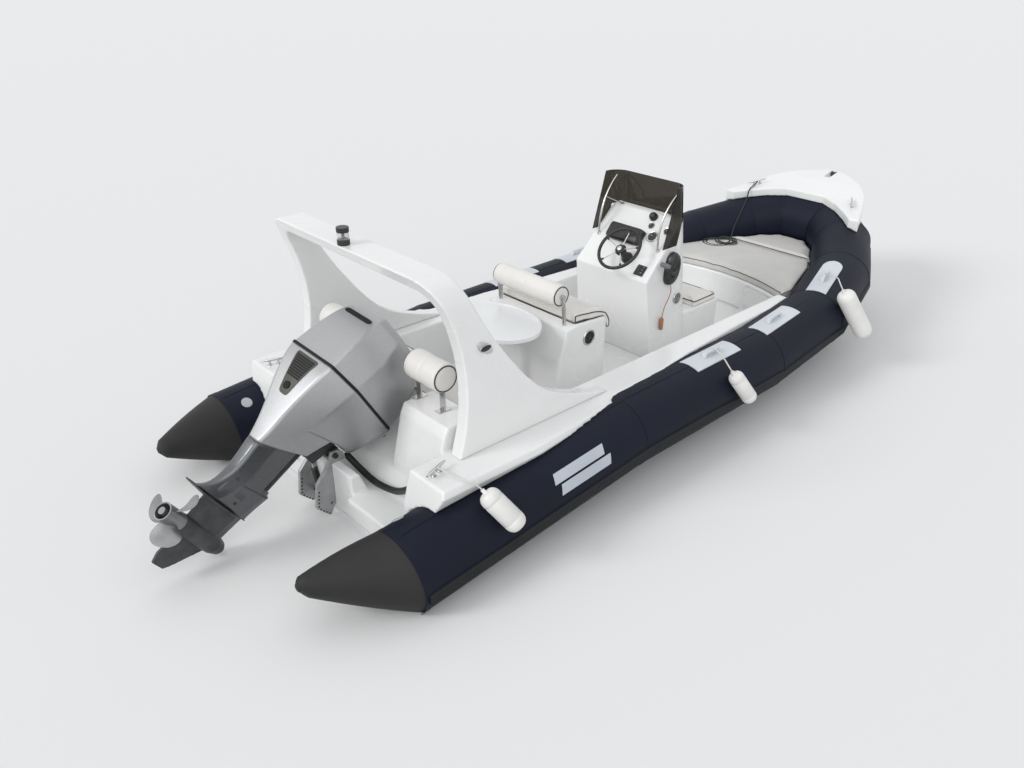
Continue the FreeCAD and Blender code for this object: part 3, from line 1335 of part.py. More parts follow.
def cylinder_ends():
    """Foot pin and eye of the tilt cylinder, where they lie at rest."""
    foot = PIVOT + v(CYLINDER_FOOT[0], 0, CYLINDER_FOOT[1])
    eye = tilt_placement().multVec(v(CYLINDER_EYE[0], 0, CYLINDER_EYE[1]))
    return foot, eye, (eye - foot).normalize()


def make_cylinder():
    """Barrel with its foot pin, bored for the rod."""
    foot, eye, along = cylinder_ends()
    barrel = Part.makeCylinder(CYLINDER_R, CYLINDER_BARREL, foot - along * CYLINDER_HEEL, along)
    start = foot + along * CYLINDER_BORE_FROM
    bore = Part.makeCylinder(CYLINDER_ROD_R + PIN_PLAY, CYLINDER_BARREL, start, along)
    reach = CLAMP_HALF - CLAMP_THICK + 12.0
    pin = rod(foot - v(0, reach, 0), foot + v(0, reach, 0), CYLINDER_PIN_R)
    return barrel.fuse(pin).cut(bore)


def make_rod():
    """Rod with the eye that pushes the swivel bracket."""
    foot, eye, along = cylinder_ends()
    start = foot + along * ROD_FROM
    bar = rod(start, eye, CYLINDER_ROD_R)
    half = v(0, CYLINDER_SLOT_HALF - 7.0, 0)
    head = rod(eye - half, eye + half, CYLINDER_EYE_R)
    return bar.fuse(head)


# Fenders and lines

def make_fenders():
    """Round-ended fenders along the starboard side, each with an eye at its upper end."""
    shapes = []
    for name, x0, y0, z0, x1, y1, z1, radius in FENDERS:
        top, bottom = v(x0, y0, z0), v(x1, y1, z1)
        along = bottom - top
        length = along.Length
        rows = [
            (-FENDER_NECK, FENDER_NECK_R), (0.0, FENDER_NECK_R), (0.0, 0.45 * radius), (0.3 * radius, 0.84 * radius),
            (0.75 * radius, radius), (length - 0.75 * radius, radius), (length - 0.3 * radius, 0.84 * radius),
            (length, 0.45 * radius),
        ]
        shapes.append(turn_profile(rows, top, along))
    return Part.makeCompound(shapes)


def cord_tube(name, rows, radius):
    """A round cord along straight runs joined by tangent arcs; prints its bend radii."""
    points = [v(*row) for row in rows]
    start = points[0]
    edges = []
    radii = []
    for before, here, after in zip(points, points[1:], points[2:]):
        first, second = here - before, after - here
        turn = first.getAngle(second)
        bend = 0.45 * min(first.Length, second.Length) / math.tan(turn / 2)
        radii.append(round(bend, 1))
        d0, d1 = first.normalize(), second.normalize()
        reach = bend * math.tan(turn / 2)
        a, b = here - d0 * reach, here + d1 * reach
        inward = (d1 - d0).normalize()
        middle = here + inward * (bend / math.cos(turn / 2) - bend)
        edges.append(Part.makeLine(start, a))
        edges.append(Part.Arc(a, middle, b).toShape())
        start = b
    edges.append(Part.makeLine(start, points[-1]))
    path = Part.Wire(edges)
    ring = Part.Wire(Part.makeCircle(radius, points[0], points[1] - points[0]))
    tube = path.makePipeShell([ring], True, False)
    share = tube.Volume / (math.pi * radius ** 2 * path.Length)
    print(name, "length", round(path.Length), "radii", radii, "volume share", round(share, 4))
    return tube


def make_coil():
    """Outer shape of the bow line's loose coil, lying on the foredeck cushion."""
    x, y, radius, inner, height = COIL
    z = FOREDECK_Z + CUSHION_SEAT + CUSHION_THICK + FIT_GAP
    rows = [(0.0, radius), (height * 0.6, radius), (height, radius - 14.0)]
    disc = turn_profile(rows, v(x, y, z), v(0, 0, 1))
    return disc.cut(Part.makeCylinder(inner, 4 * height, v(x, y, z - height)))


# All pieces

def build():
    cut = all_tubes(TUBE_R + TUBE_SEAT)
    port = side_tube(TUBE_R)
    upright = steer_placement()
    tilted = tilt_placement()
    aft_pad, fwd_pad = make_cushions(cut)
    hull = make_hull(cut)
    liner, foredeck = split_deck(make_deck(cut))
    console = make_console()
    nodes = {
        "hull": hull,
        "deck_liner": liner,
        "foredeck": foredeck,
        "tube_port": port,
        "tube_starboard": mirror_y(port),
        "tube_bow": front_tube(TUBE_R),
        "tube_cones": make_cones(),
        "rub_strakes": make_strakes(cut),
        "handle_pads": make_pads(all_tubes(TUBE_R + PAD_THICK), cut),
        "grab_handles": make_handles(),
        "inflation_valves": make_valves(),
        "nose_cap": make_cap(cut),
        "bow_roller": make_roller(),
        "bow_cleats": make_cleats(0),
        "stern_cleats": make_cleats(1),
        "towing_eye": make_towing_eye(hull),
        "foredeck_cushion_aft": aft_pad,
        "foredeck_cushion_forward": fwd_pad,
        "console": console,
        "console_seat_cushion": make_front_lid(),
        "console_seat_hinges": make_front_hinges(),
        "instrument_pod": make_pod(),
        "gauges": make_gauges(),
        "windscreen": make_screen(console),
        "windscreen_rails": make_rails(console),
        "steering_wheel": make_wheel(),
        "throttle": make_throttle(),
        "helm_seat_box": make_seat_box(),
        "helm_seat_cushion": make_helm_cushion(),
        "helm_seat_hinges": make_seat_hinges(),
        "speakers": make_speakers(),
        "locker_door": make_door(),
        "helm_bolster": bolster(HELM_BOLSTER, BOLSTER_R, -BOLSTER_HALF, BOLSTER_HALF),
        "helm_bolster_posts": make_helm_posts(),
        "table": make_table(),
        "table_pedestal": make_pedestal(),
        "bench_cushion": make_bench_cushion(),
        "stern_bolster": both_sides(bolster(STERN_BOLSTER, STERN_BOLSTER_R, *STERN_BOLSTER_Y)),
        "stern_bolster_brackets": make_stern_brackets(),
        "arch": make_arch(),
        "arch_vents": make_vents(),
        "allround_light": make_light(),
        "light_lens": make_lens(),
        "fenders": make_fenders(),
        "bow_line": cord_tube("bow_line", BOW_LINE, BOW_LINE_R),
        "bow_line_coil": make_coil(),
        "clamp_brackets": make_clamps(),
        "swivel_bracket": placed(make_swivel(), tilted),
        "tilt_cylinder": make_cylinder(),
        "tilt_rod": make_rod(),
        "cowl_upper": placed(ring_stack(UPPER_RINGS, 1.0), upright),
        "cowl_lower": placed(make_lower_cowl(), upright),
        "driveshaft_housing": placed(make_housing(), upright),
        "gearcase": placed(make_gearcase(), upright),
        "propeller": placed(make_propeller(), upright),
    }
    for name, rows in LANYARDS.items():
        nodes["lanyard_" + name] = cord_tube("lanyard_" + name, rows, LANYARD_R)
    return nodes


def main():
    os.makedirs("parts", exist_ok=True)
    for name, shape in build().items():
        shape.exportStep("parts/" + name + ".step")
        print(name, "valid", shape.isValid(), "solids", len(shape.Solids), round(shape.Volume / 1e6, 2))


main()
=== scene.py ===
"""Looks of a rigid inflatable boat with an outboard motor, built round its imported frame."""

import logging
import math
from collections.abc import Callable, Sequence
from dataclasses import dataclass, field
from enum import Enum
from functools import cache

import bmesh
import bpy
import numpy as np
from mathutils import Matrix, Vector
from mathutils.bvhtree import BVHTree


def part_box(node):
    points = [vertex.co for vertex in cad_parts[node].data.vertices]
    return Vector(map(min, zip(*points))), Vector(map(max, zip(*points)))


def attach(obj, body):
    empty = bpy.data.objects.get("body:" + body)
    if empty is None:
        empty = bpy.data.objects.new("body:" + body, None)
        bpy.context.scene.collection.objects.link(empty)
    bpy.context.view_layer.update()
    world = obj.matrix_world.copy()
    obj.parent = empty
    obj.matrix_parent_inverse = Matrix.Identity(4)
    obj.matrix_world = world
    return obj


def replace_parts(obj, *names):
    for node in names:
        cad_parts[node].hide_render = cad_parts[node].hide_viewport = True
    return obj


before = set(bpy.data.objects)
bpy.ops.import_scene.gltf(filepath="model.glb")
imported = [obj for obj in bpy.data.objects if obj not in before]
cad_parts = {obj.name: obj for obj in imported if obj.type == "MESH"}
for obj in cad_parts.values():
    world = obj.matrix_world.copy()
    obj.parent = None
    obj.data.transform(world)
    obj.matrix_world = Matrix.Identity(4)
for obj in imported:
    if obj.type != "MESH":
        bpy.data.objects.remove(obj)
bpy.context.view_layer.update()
LOG = logging.getLogger("boat")

Point = Sequence[float]
Colour = tuple[float, float, float]
Pairs = Sequence[tuple[float, float]]
Rows = Sequence[tuple[float, ...]]
Socket = bpy.types.NodeSocket
Object = bpy.types.Object
COAT_ROUGHNESS = 0.06
RELIEF_DEPTH = 0.001


# Finishes


class Pattern(Enum):
    """Surface effects, each one a shader node group."""

    MOULDED = "moulded_skin"
    WOVEN = "woven_cloth"
    GRAINED = "grained_vinyl"
    BRUSHED = "brushed_metal"
    CAST = "cast_metal"
    FLAKED = "metallic_flake"


@dataclass(frozen=True)
class Finish:
    """One finish of the boat, with its colour, its gloss and the effect that breaks it up."""

    slot: str
    base: Colour
    worn: Colour
    pattern: Pattern
    scale: float = 1.0
    roughness: float = 0.4
    roughness_worn: float = 0.5
    bump: float = 0.1
    metallic: float = 0.0
    coat: float = 0.0
    transmission: float = 0.0
    ior: float = 1.45
    specular: float = 0.5

    @cache
    def material(self) -> bpy.types.Material:
        """Makes this finish's material on its first use.

        Returns:
            The material, the same one each time.
        """
        made = bpy.data.materials.new(f"{self.slot}_{self.pattern.value}")
        made.use_nodes = True
        nodes, links = made.node_tree.nodes, made.node_tree.links
        shader = nodes["Principled BSDF"]
        for socket, value in (("Metallic", self.metallic), ("IOR", self.ior), ("Coat Weight", self.coat),
                              ("Transmission Weight", self.transmission), ("Coat Roughness", COAT_ROUGHNESS),
                              ("Specular IOR Level", self.specular)):
            shader.inputs[socket].default_value = value
        where = nodes.new("ShaderNodeTexCoord")
        effect = nodes.new("ShaderNodeGroup")
        effect.node_tree = EFFECTS[self.pattern]
        effect.inputs["Scale"].default_value = self.scale
        links.new(where.outputs["Object"], effect.inputs["Vector"])
        tint = nodes.new("ShaderNodeMix")
        tint.data_type = "RGBA"
        tint.inputs["A"].default_value = (*self.base, 1.0)
        tint.inputs["B"].default_value = (*self.worn, 1.0)
        links.new(effect.outputs["Mask"], tint.inputs["Factor"])
        links.new(tint.outputs["Result"], shader.inputs["Base Color"])
        gloss = nodes.new("ShaderNodeMapRange")
        gloss.inputs["To Min"].default_value = self.roughness
        gloss.inputs["To Max"].default_value = self.roughness_worn
        links.new(effect.outputs["Mask"], gloss.inputs["Value"])
        links.new(gloss.outputs["Result"], shader.inputs["Roughness"])
        relief = nodes.new("ShaderNodeBump")
        relief.inputs["Strength"].default_value = self.bump
        relief.inputs["Distance"].default_value = RELIEF_DEPTH
        links.new(effect.outputs["Height"], relief.inputs["Height"])
        links.new(relief.outputs["Normal"], shader.inputs["Normal"])
        return made


class EffectBuilder:
    """Builds the shader node group of each pattern: a broad mask and a fine height."""

    def __init__(self, pattern: Pattern) -> None:
        """Opens an empty group with its sockets.

        Args:
            pattern: the effect that the group makes.
        """
        self.pattern = pattern
        self.tree = bpy.data.node_groups.new(pattern.value, "ShaderNodeTree")
        face = self.tree.interface
        face.new_socket("Vector", in_out="INPUT", socket_type="NodeSocketVector")
        face.new_socket("Scale", in_out="INPUT", socket_type="NodeSocketFloat").default_value = 1.0
        face.new_socket("Mask", in_out="OUTPUT", socket_type="NodeSocketFloat")
        face.new_socket("Height", in_out="OUTPUT", socket_type="NodeSocketFloat")
        self.entry = self.tree.nodes.new("NodeGroupInput")
        self.exit = self.tree.nodes.new("NodeGroupOutput")

    def link(self, out: Socket, into: Socket) -> None:
        """Links two sockets of the group."""
        self.tree.links.new(out, into)

    def node(self, kind: str, values: dict[str, float]) -> bpy.types.ShaderNode:
        """Adds a node to the group.

        Args:
            kind: the node's type.
            values: what its inputs are set to, by input name.

        Returns:
            The new node.
        """
        made = self.tree.nodes.new("ShaderNode" + kind)
        for name, value in values.items():
            made.inputs[name].default_value = value
        return made

    def scaled(self, stretch: Point) -> Socket:
        """Scales the group's vector by its Scale input and stretches it by axis.

        Args:
            stretch: factor along each axis.

        Returns:
            The scaled vector.
        """
        even = self.tree.nodes.new("ShaderNodeVectorMath")
        even.operation = "SCALE"
        self.link(self.entry.outputs["Vector"], even.inputs[0])
        self.link(self.entry.outputs["Scale"], even.inputs["Scale"])
        pull = self.tree.nodes.new("ShaderNodeVectorMath")
        pull.operation = "MULTIPLY"
        pull.inputs[1].default_value = stretch
        self.link(even.outputs[0], pull.inputs[0])
        return pull.outputs[0]

    def texture(self, kind: str, values: dict[str, float],
                stretch: Point = (1, 1, 1)) -> bpy.types.ShaderNode:
        """Adds a texture node that reads the group's scaled vector.

        Args:
            kind: the node's type.
            values: what its inputs are set to, by input name.
            stretch: factor along each axis.

        Returns:
            The new node.
        """
        made = self.node(kind, values)
        self.link(self.scaled(stretch), made.inputs["Vector"])
        return made

    def noise(self, scale: float, detail: float, stretch: Point = (1, 1, 1)) -> Socket:
        """Returns a noise value at a scale."""
        return self.texture("TexNoise", {"Scale": scale, "Detail": detail}, stretch).outputs["Fac"]

    def bands(self, axis: str, scale: float) -> Socket:
        """Makes the wave of threads that run across an axis.

        Args:
            axis: the axis.
            scale: how fine the threads are.

        Returns:
            The wave's value.
        """
        made = self.texture("TexWave", {"Scale": scale, "Distortion": 0.6})
        made.bands_direction = axis
        return made.outputs["Fac"]

    def cells(self, scale: float) -> Socket:
        """Returns the distance to the nearest pore of a leathery grain."""
        return self.texture("TexVoronoi", {"Scale": scale}).outputs["Distance"]

    def joined(self, kind: str, a: Socket, b: Socket) -> Socket:
        """Joins two values.

        Args:
            kind: the math node's operation.
            a: the first value.
            b: the second value.

        Returns:
            The joined value.
        """
        made = self.node("Math", {})
        made.operation = kind
        self.link(a, made.inputs[0])
        self.link(b, made.inputs[1])
        return made.outputs[0]

    def contrast(self, value: Socket, low: float, high: float) -> Socket:
        """Stretches a value to 0..1.

        Args:
            value: the value.
            low: what becomes 0.
            high: what becomes 1.

        Returns:
            The stretched value.
        """
        made = self.node("MapRange", {"From Min": low, "From Max": high})
        self.link(value, made.inputs["Value"])
        return made.outputs["Result"]

    def build(self) -> bpy.types.ShaderNodeTree:
        """Fills the group with its pattern's mask and height.

        Returns:
            The finished group.
        """
        broad = self.contrast(self.noise(1.7, 4.0), 0.35, 0.75)
        if self.pattern is Pattern.MOULDED:
            mask, height = broad, self.noise(28.0, 2.0)
        elif self.pattern is Pattern.WOVEN:
            mask = self.contrast(self.noise(2.6, 6.0), 0.35, 0.8)
            threads = self.joined("MULTIPLY", self.bands("X", 240.0), self.bands("Z", 240.0))
            height = self.joined("ADD", threads, self.noise(90.0, 3.0))
        elif self.pattern is Pattern.GRAINED:
            mask = self.contrast(self.noise(5.0, 5.0), 0.35, 0.8)
            height = self.joined("SUBTRACT", self.noise(60.0, 3.0), self.cells(260.0))
        elif self.pattern is Pattern.BRUSHED:
            mask, height = self.noise(9.0, 5.0), self.noise(70.0, 2.0, (1, 1, 14))
        elif self.pattern is Pattern.CAST:
            mask, height = self.contrast(self.noise(14.0, 6.0), 0.3, 0.75), self.noise(180.0, 4.0)
        else:
            mask, height = self.contrast(self.noise(420.0, 1.0), 0.42, 0.62), self.noise(30.0, 2.0)
        self.link(mask, self.exit.inputs["Mask"])
        self.link(height, self.exit.inputs["Height"])
        return self.tree


EFFECTS = {pattern: EffectBuilder(pattern).build() for pattern in Pattern}

MOULDED, WOVEN, GRAINED = Pattern.MOULDED, Pattern.WOVEN, Pattern.GRAINED
BRUSHED, CAST, FLAKED = Pattern.BRUSHED, Pattern.CAST, Pattern.FLAKED

# Mouldings and tubes
WHITE_HULL = Finish("hull_gelcoat", (0.80, 0.81, 0.82), (0.74, 0.75, 0.76), MOULDED, 1.0, 0.22, 0.30, 0.02,
                    coat=0.4)
WHITE_DECK = Finish("deck_gelcoat", (0.83, 0.83, 0.82), (0.79, 0.79, 0.78), MOULDED, 1.0, 0.24, 0.34, 0.02,
                    coat=0.35)
TABLE_WHITE = Finish("table_gelcoat", (0.84, 0.85, 0.85), (0.80, 0.81, 0.82), MOULDED, 1.4, 0.2, 0.3, 0.02,
                     coat=0.4)
TUBE_CLOTH = Finish("tube_fabric", (0.004, 0.0062, 0.015), (0.008, 0.011, 0.023), WOVEN, 1.0, 0.5, 0.62, 0.15,
                    specular=0.2)
CONE_CLOTH = Finish("cone_fabric", (0.022, 0.021, 0.021), (0.034, 0.033, 0.032), WOVEN, 1.0, 0.55, 0.7, 0.15,
                    specular=0.28)
STRAKE = Finish("strake_rubber", (0.008, 0.009, 0.011), (0.020, 0.020, 0.022), CAST, 0.6, 0.5, 0.7, 0.15,
                specular=0.3)
PAD_CLOTH = Finish("pad_fabric", (0.66, 0.69, 0.72), (0.56, 0.59, 0.63), WOVEN, 1.2, 0.55, 0.7, 0.2)
STRIPE = Finish("pad_fabric", (0.52, 0.55, 0.60), (0.45, 0.48, 0.53), WOVEN, 1.2, 0.5, 0.65, 0.12)
VALVE = Finish("valve_plastic", (0.50, 0.52, 0.52), (0.40, 0.41, 0.41), MOULDED, 3.0, 0.4, 0.55, 0.05)
ROLLER = Finish("roller_rubber", (0.02, 0.02, 0.02), (0.05, 0.05, 0.05), CAST, 1.0, 0.6, 0.75, 0.15)

# Seats, table and helm
STEEL = Finish("stainless", (0.62, 0.62, 0.61), (0.50, 0.50, 0.50), BRUSHED, 1.0, 0.16, 0.28, 0.03,
               metallic=1.0)
POLE = Finish("pedestal_metal", (0.66, 0.66, 0.66), (0.55, 0.55, 0.55), BRUSHED, 1.0, 0.25, 0.38, 0.04,
              metallic=1.0)
DECK_VINYL = Finish("foredeck_vinyl", (0.60, 0.585, 0.56), (0.54, 0.53, 0.51), GRAINED, 1.0, 0.42, 0.55, 0.16)
SEAT_VINYL = Finish("seat_vinyl", (0.78, 0.755, 0.715), (0.72, 0.69, 0.65), GRAINED, 1.0, 0.4, 0.52, 0.16)
PIPING = Finish("dash_black", (0.02, 0.02, 0.022), (0.04, 0.04, 0.04), GRAINED, 2.0, 0.4, 0.5, 0.1)
DASH = Finish("dash_black", (0.012, 0.012, 0.013), (0.028, 0.028, 0.028), MOULDED, 3.0, 0.3, 0.42, 0.06)
DIAL = Finish("gauge_face", (0.02, 0.021, 0.024), (0.035, 0.036, 0.04), MOULDED, 8.0, 0.35, 0.45, 0.02)
MARKS = Finish("gauge_face", (0.75, 0.76, 0.74), (0.68, 0.69, 0.67), MOULDED, 8.0, 0.5, 0.6, 0.02)
SMOKED = Finish("smoked_screen", (0.070, 0.060, 0.048), (0.058, 0.050, 0.040), MOULDED, 1.0, 0.03, 0.07, 0.0,
                transmission=0.94, ior=1.3)
WHEEL_BLACK = Finish("wheel_rim", (0.012, 0.012, 0.012), (0.03, 0.03, 0.03), GRAINED, 2.0, 0.42, 0.55, 0.2)
THROTTLE_BLACK = Finish("throttle_black", (0.012, 0.013, 0.014), (0.03, 0.03, 0.03), MOULDED, 4.0, 0.25, 0.38,
                        0.05)
GRIP_GREY = Finish("throttle_black", (0.14, 0.14, 0.14), (0.19, 0.19, 0.19), GRAINED, 3.0, 0.4, 0.5, 0.1)
LAMP_BODY = Finish("light_body", (0.015, 0.015, 0.016), (0.03, 0.03, 0.03), MOULDED, 5.0, 0.35, 0.5, 0.05)
LAMP_LENS = Finish("light_lens", (0.92, 0.93, 0.93), (0.88, 0.89, 0.90), MOULDED, 5.0, 0.05, 0.1, 0.0,
                   transmission=0.9)

# Fenders and lines
FENDER_VINYL = Finish("fender_vinyl", (0.80, 0.79, 0.76), (0.68, 0.67, 0.64), GRAINED, 1.0, 0.35, 0.5, 0.06)
ROPE_WHITE = Finish("rope_white", (0.72, 0.70, 0.66), (0.58, 0.56, 0.52), WOVEN, 3.0, 0.7, 0.85, 0.5)
ROPE_DARK = Finish("rope_dark", (0.018, 0.019, 0.022), (0.045, 0.045, 0.05), WOVEN, 3.0, 0.65, 0.8, 0.5)
CORD_RED = Finish("rope_white", (0.40, 0.03, 0.03), (0.32, 0.03, 0.03), GRAINED, 3.0, 0.45, 0.6, 0.1)
CORK = Finish("rope_white", (0.40, 0.20, 0.10), (0.30, 0.14, 0.07), CAST, 2.0, 0.7, 0.85, 0.3)
HOSE_BLACK = Finish("rope_dark", (0.010, 0.010, 0.011), (0.022, 0.022, 0.022), GRAINED, 2.0, 0.4, 0.55, 0.1,
                    specular=0.35)

# Motor
COWL_SILVER = Finish("cowl_silver", (0.36, 0.365, 0.375), (0.48, 0.485, 0.495), FLAKED, 1.0, 0.40, 0.44, 0.02,
                     metallic=0.8)
MOTOR_DARK = Finish("motor_dark", (0.045, 0.046, 0.048), (0.085, 0.086, 0.088), CAST, 1.0, 0.4, 0.55, 0.12,
                    metallic=0.3)
# Leg and housing: the metal's own dark silver, with its base darkened further as painted reflection of dark
# water under the leg.
LEG_SILVER_WITH_PAINTED_REFLECTION = Finish("motor_silver", (0.10, 0.105, 0.112), (0.16, 0.166, 0.174), FLAKED, 1.0, 0.3, 0.38,
                      0.03, metallic=0.75, coat=0.3)
SEAL = Finish("motor_dark", (0.006, 0.006, 0.007), (0.014, 0.014, 0.014), CAST, 2.0, 0.5, 0.65, 0.1,
              specular=0.3)
PANEL_OLIVE = Finish("motor_dark", (0.048, 0.050, 0.038), (0.075, 0.077, 0.060), CAST, 2.0, 0.45, 0.55, 0.1)
BRACKET = Finish("bracket_metal", (0.34, 0.345, 0.35), (0.46, 0.465, 0.47), CAST, 1.0, 0.38, 0.55, 0.1,
                 metallic=0.75)
CYLINDER = Finish("cylinder_metal", (0.03, 0.03, 0.032), (0.06, 0.06, 0.06), CAST, 1.0, 0.35, 0.5, 0.06,
                  metallic=0.4)
PROP_METAL = Finish("propeller_metal", (0.22, 0.225, 0.23), (0.33, 0.335, 0.34), CAST, 0.8, 0.32, 0.46, 0.08,
                    metallic=0.7)


# Mesh making


def turns(count: int) -> list[float]:
    """Returns the angles of even steps round a circle."""
    return [2 * math.pi * k / count for k in range(count)]


def circle(middle: Vector, side: Vector, up: Vector, radius: float, count: int) -> list[Vector]:
    """Returns points round the circle that two unit vectors span."""
    return [middle + (side * math.cos(t) + up * math.sin(t)) * radius for t in turns(count)]


def mirrored(point: Vector, sign: int) -> Vector:
    """Returns a port point for sign 1, and its mirror image to starboard for sign -1."""
    return Vector((point.x, point.y * sign, point.z))


def placed(name: str, data: bpy.types.ID) -> Object:
    """Puts a new object into the scene.

    Args:
        name: the object's name.
        data: the mesh, curve, lamp or camera that it shows.

    Returns:
        The object.
    """
    made = bpy.data.objects.new(name, data)
    bpy.context.scene.collection.objects.link(made)
    return made


def mesh_object(name: str, points: Sequence[Point], faces: Sequence[tuple[int, ...]]) -> Object:
    """Puts a new mesh into the scene.

    Args:
        name: the object's name.
        points: its corners.
        faces: the corners of each face, by number.

    Returns:
        The object.
    """
    mesh = bpy.data.meshes.new(name)
    mesh.from_pydata([tuple(p) for p in points], [], faces)
    return placed(name, mesh)


def crisp_group() -> bpy.types.GeometryNodeTree:
    """Makes the modifier's group that shades smooth up to an edge angle and sharp beyond it.

    Returns:
        The group.
    """
    tree = bpy.data.node_groups.new("crisp_shading", "GeometryNodeTree")
    tree.interface.new_socket("Geometry", in_out="INPUT", socket_type="NodeSocketGeometry")
    tree.interface.new_socket("Angle", in_out="INPUT", socket_type="NodeSocketFloat")
    tree.interface.new_socket("Geometry", in_out="OUTPUT", socket_type="NodeSocketGeometry")
    nodes, links = tree.nodes, tree.links
    entry, leave = nodes.new("NodeGroupInput"), nodes.new("NodeGroupOutput")
    plain = nodes.new("GeometryNodeRemoveAttribute")
    plain.inputs["Name"].default_value = "custom_normal"
    angle = nodes.new("GeometryNodeInputMeshEdgeAngle")
    gentle = nodes.new("FunctionNodeCompare")
    gentle.operation = "LESS_EQUAL"
    faces, edges = nodes.new("GeometryNodeSetShadeSmooth"), nodes.new("GeometryNodeSetShadeSmooth")
    edges.domain = "EDGE"
    links.new(entry.outputs["Geometry"], plain.inputs["Geometry"])
    links.new(plain.outputs["Geometry"], faces.inputs["Geometry"])
    links.new(faces.outputs["Geometry"], edges.inputs["Geometry"])
    links.new(angle.outputs["Unsigned Angle"], gentle.inputs["A"])
    links.new(entry.outputs["Angle"], gentle.inputs["B"])
    links.new(gentle.outputs["Result"], edges.inputs["Shade Smooth"])
    links.new(edges.outputs["Geometry"], leave.inputs["Geometry"])
    return tree


CRISP = crisp_group()
SAME_POINT = 2e-5
FLAT_DEGREES = 0.6
BEVEL_FROM_DEGREES = 28
SOFT_CRISP = 70


def shade(piece: Object, degrees: float) -> None:
    """Adds the crisp shading modifier to a piece.

    Args:
        piece: the piece.
        degrees: edges sharper than this stay sharp.
    """
    modifier = piece.modifiers.new("crisp", "NODES")
    modifier.node_group = CRISP
    modifier["Socket_1"] = math.radians(degrees)


def basis(along: Vector) -> tuple[Vector, Vector]:
    """Finds two unit vectors square to a direction and to each other.

    Args:
        along: the direction, of length 1.

    Returns:
        The two vectors.
    """
    helper = Vector((0, 0, 1)) if abs(along.z) < 0.9 else Vector((1, 0, 0))
    side = along.cross(helper).normalized()
    return side, side.cross(along).normalized()


@dataclass
class Piece:
    """Collects surfaces that become one Blender mesh.

    Attributes:
        name: the object's name.
        finish: what it is made of.
        body: the body it rides on.
        crisp: edges sharper than this many degrees stay sharp.
    """

    name: str
    finish: Finish
    body: str
    crisp: float = 35.0
    points: list[Vector] = field(default_factory=list)
    faces: list[tuple[int, ...]] = field(default_factory=list)

    def grid(self, rows: Sequence[Sequence[Point]], round_rows: bool = True, ends: bool = True,
             close: bool = False) -> None:
        """Adds a skin over rows of points.

        Args:
            rows: each row has the same number of points.
            round_rows: whether each row closes on itself.
            ends: whether the first and last row are closed by a face.
            close: whether the last row joins the first.
        """
        base, width, count = len(self.points), len(rows[0]), len(rows)
        self.points += [Vector(p) for row in rows for p in row]
        across = width if round_rows else width - 1
        for i in range(count if close else count - 1):
            a, b = base + i * width, base + (i + 1) % count * width
            for j in range(across):
                k = (j + 1) % width
                self.faces.append((a + j, a + k, b + k, b + j))
        if ends and round_rows and not close:
            self.faces.append(tuple(base + j for j in reversed(range(width))))
            last = base + (count - 1) * width
            self.faces.append(tuple(last + j for j in range(width)))

    def lathe(self, profile: Pairs, origin: Point, axis: Point, count: int = 32,
              ends: bool = True) -> None:
        """Adds a turned form.

        Args:
            profile: rows of distance along the axis and radius.
            origin: where distance 0 lies.
            axis: direction of the axis.
            count: points round it.
            ends: whether its two ends are closed.
        """
        along = Vector(axis).normalized()
        side, up = basis(along)
        base = Vector(origin)
        self.grid([circle(base + along * d, side, up, r, count) for d, r in profile], ends=ends)

    def tube(self, line: Sequence[Point], radius: float, count: int = 10, closed: bool = False) -> None:
        """Adds a round bar along a line of points.

        Args:
            line: the points it follows.
            radius: its radius.
            count: points round it.
            closed: whether the line is a loop.
        """
        path = [Vector(p) for p in line]
        last = len(path)
        rows, side = [], None
        for i, here in enumerate(path):
            after = path[(i + 1) % last] if closed or i < last - 1 else here
            before = path[i - 1] if closed or i > 0 else here
            along = (after - before).normalized()
            side = basis(along)[0] if side is None else (side - along * side.dot(along)).normalized()
            rows.append(circle(here, side, along.cross(side), radius, count))
        self.grid(rows, close=closed)

    def block(self, centre: Point, size: Point, axes: Sequence[Point], round_by: float = 0.0) -> None:
        """Adds a block with chamfered corners.

        Args:
            centre: its middle.
            size: its three sides.
            axes: the directions of the first two sides.
            round_by: how far its edges are cut back.
        """
        x, y = Vector(axes[0]).normalized(), Vector(axes[1]).normalized()
        z = x.cross(y)
        cut = min(round_by, min(size) * 0.45)
        half = [s / 2 for s in size]
        levels = [(-half[2], cut), (-half[2] + cut, 0.0), (half[2] - cut, 0.0), (half[2], cut)]
        rows = []
        for height, inset in levels:
            a, b = half[0] - inset, half[1] - inset
            ring = [(-a, -b + cut), (-a + cut, -b), (a - cut, -b), (a, -b + cut),
                    (a, b - cut), (a - cut, b), (-a + cut, b), (-a, b - cut)]
            rows.append([Vector(centre) + x * p + y * q + z * height for p, q in ring])
        self.grid(rows)

    def build(self) -> Object:
        """Makes the object, dresses it and puts it on its body.

        Returns:
            The finished object.
        """
        piece = mesh_object(self.name, self.points, self.faces)
        work = bmesh.new()
        work.from_mesh(piece.data)
        bmesh.ops.remove_doubles(work, verts=work.verts, dist=1e-6)
        bmesh.ops.recalc_face_normals(work, faces=work.faces)
        work.to_mesh(piece.data)
        work.free()
        shade(piece, self.crisp)
        return finished(piece, self.finish, self.body)


def paint(piece: Object, finish: Finish) -> None:
    """Gives a piece one material in place of any it has."""
    piece.data.materials.clear()
    piece.data.materials.append(finish.material())


def finished(piece: Object, finish: Finish, body: str) -> Object:
    """Gives a new piece its finish and its body.

    Args:
        piece: the piece.
        finish: what it is made of.
        body: the body it rides on.

    Returns:
        The same piece.
    """
    paint(piece, finish)
    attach(piece, body)
    LOG.info("%s on %s", piece.name, body)
    return piece


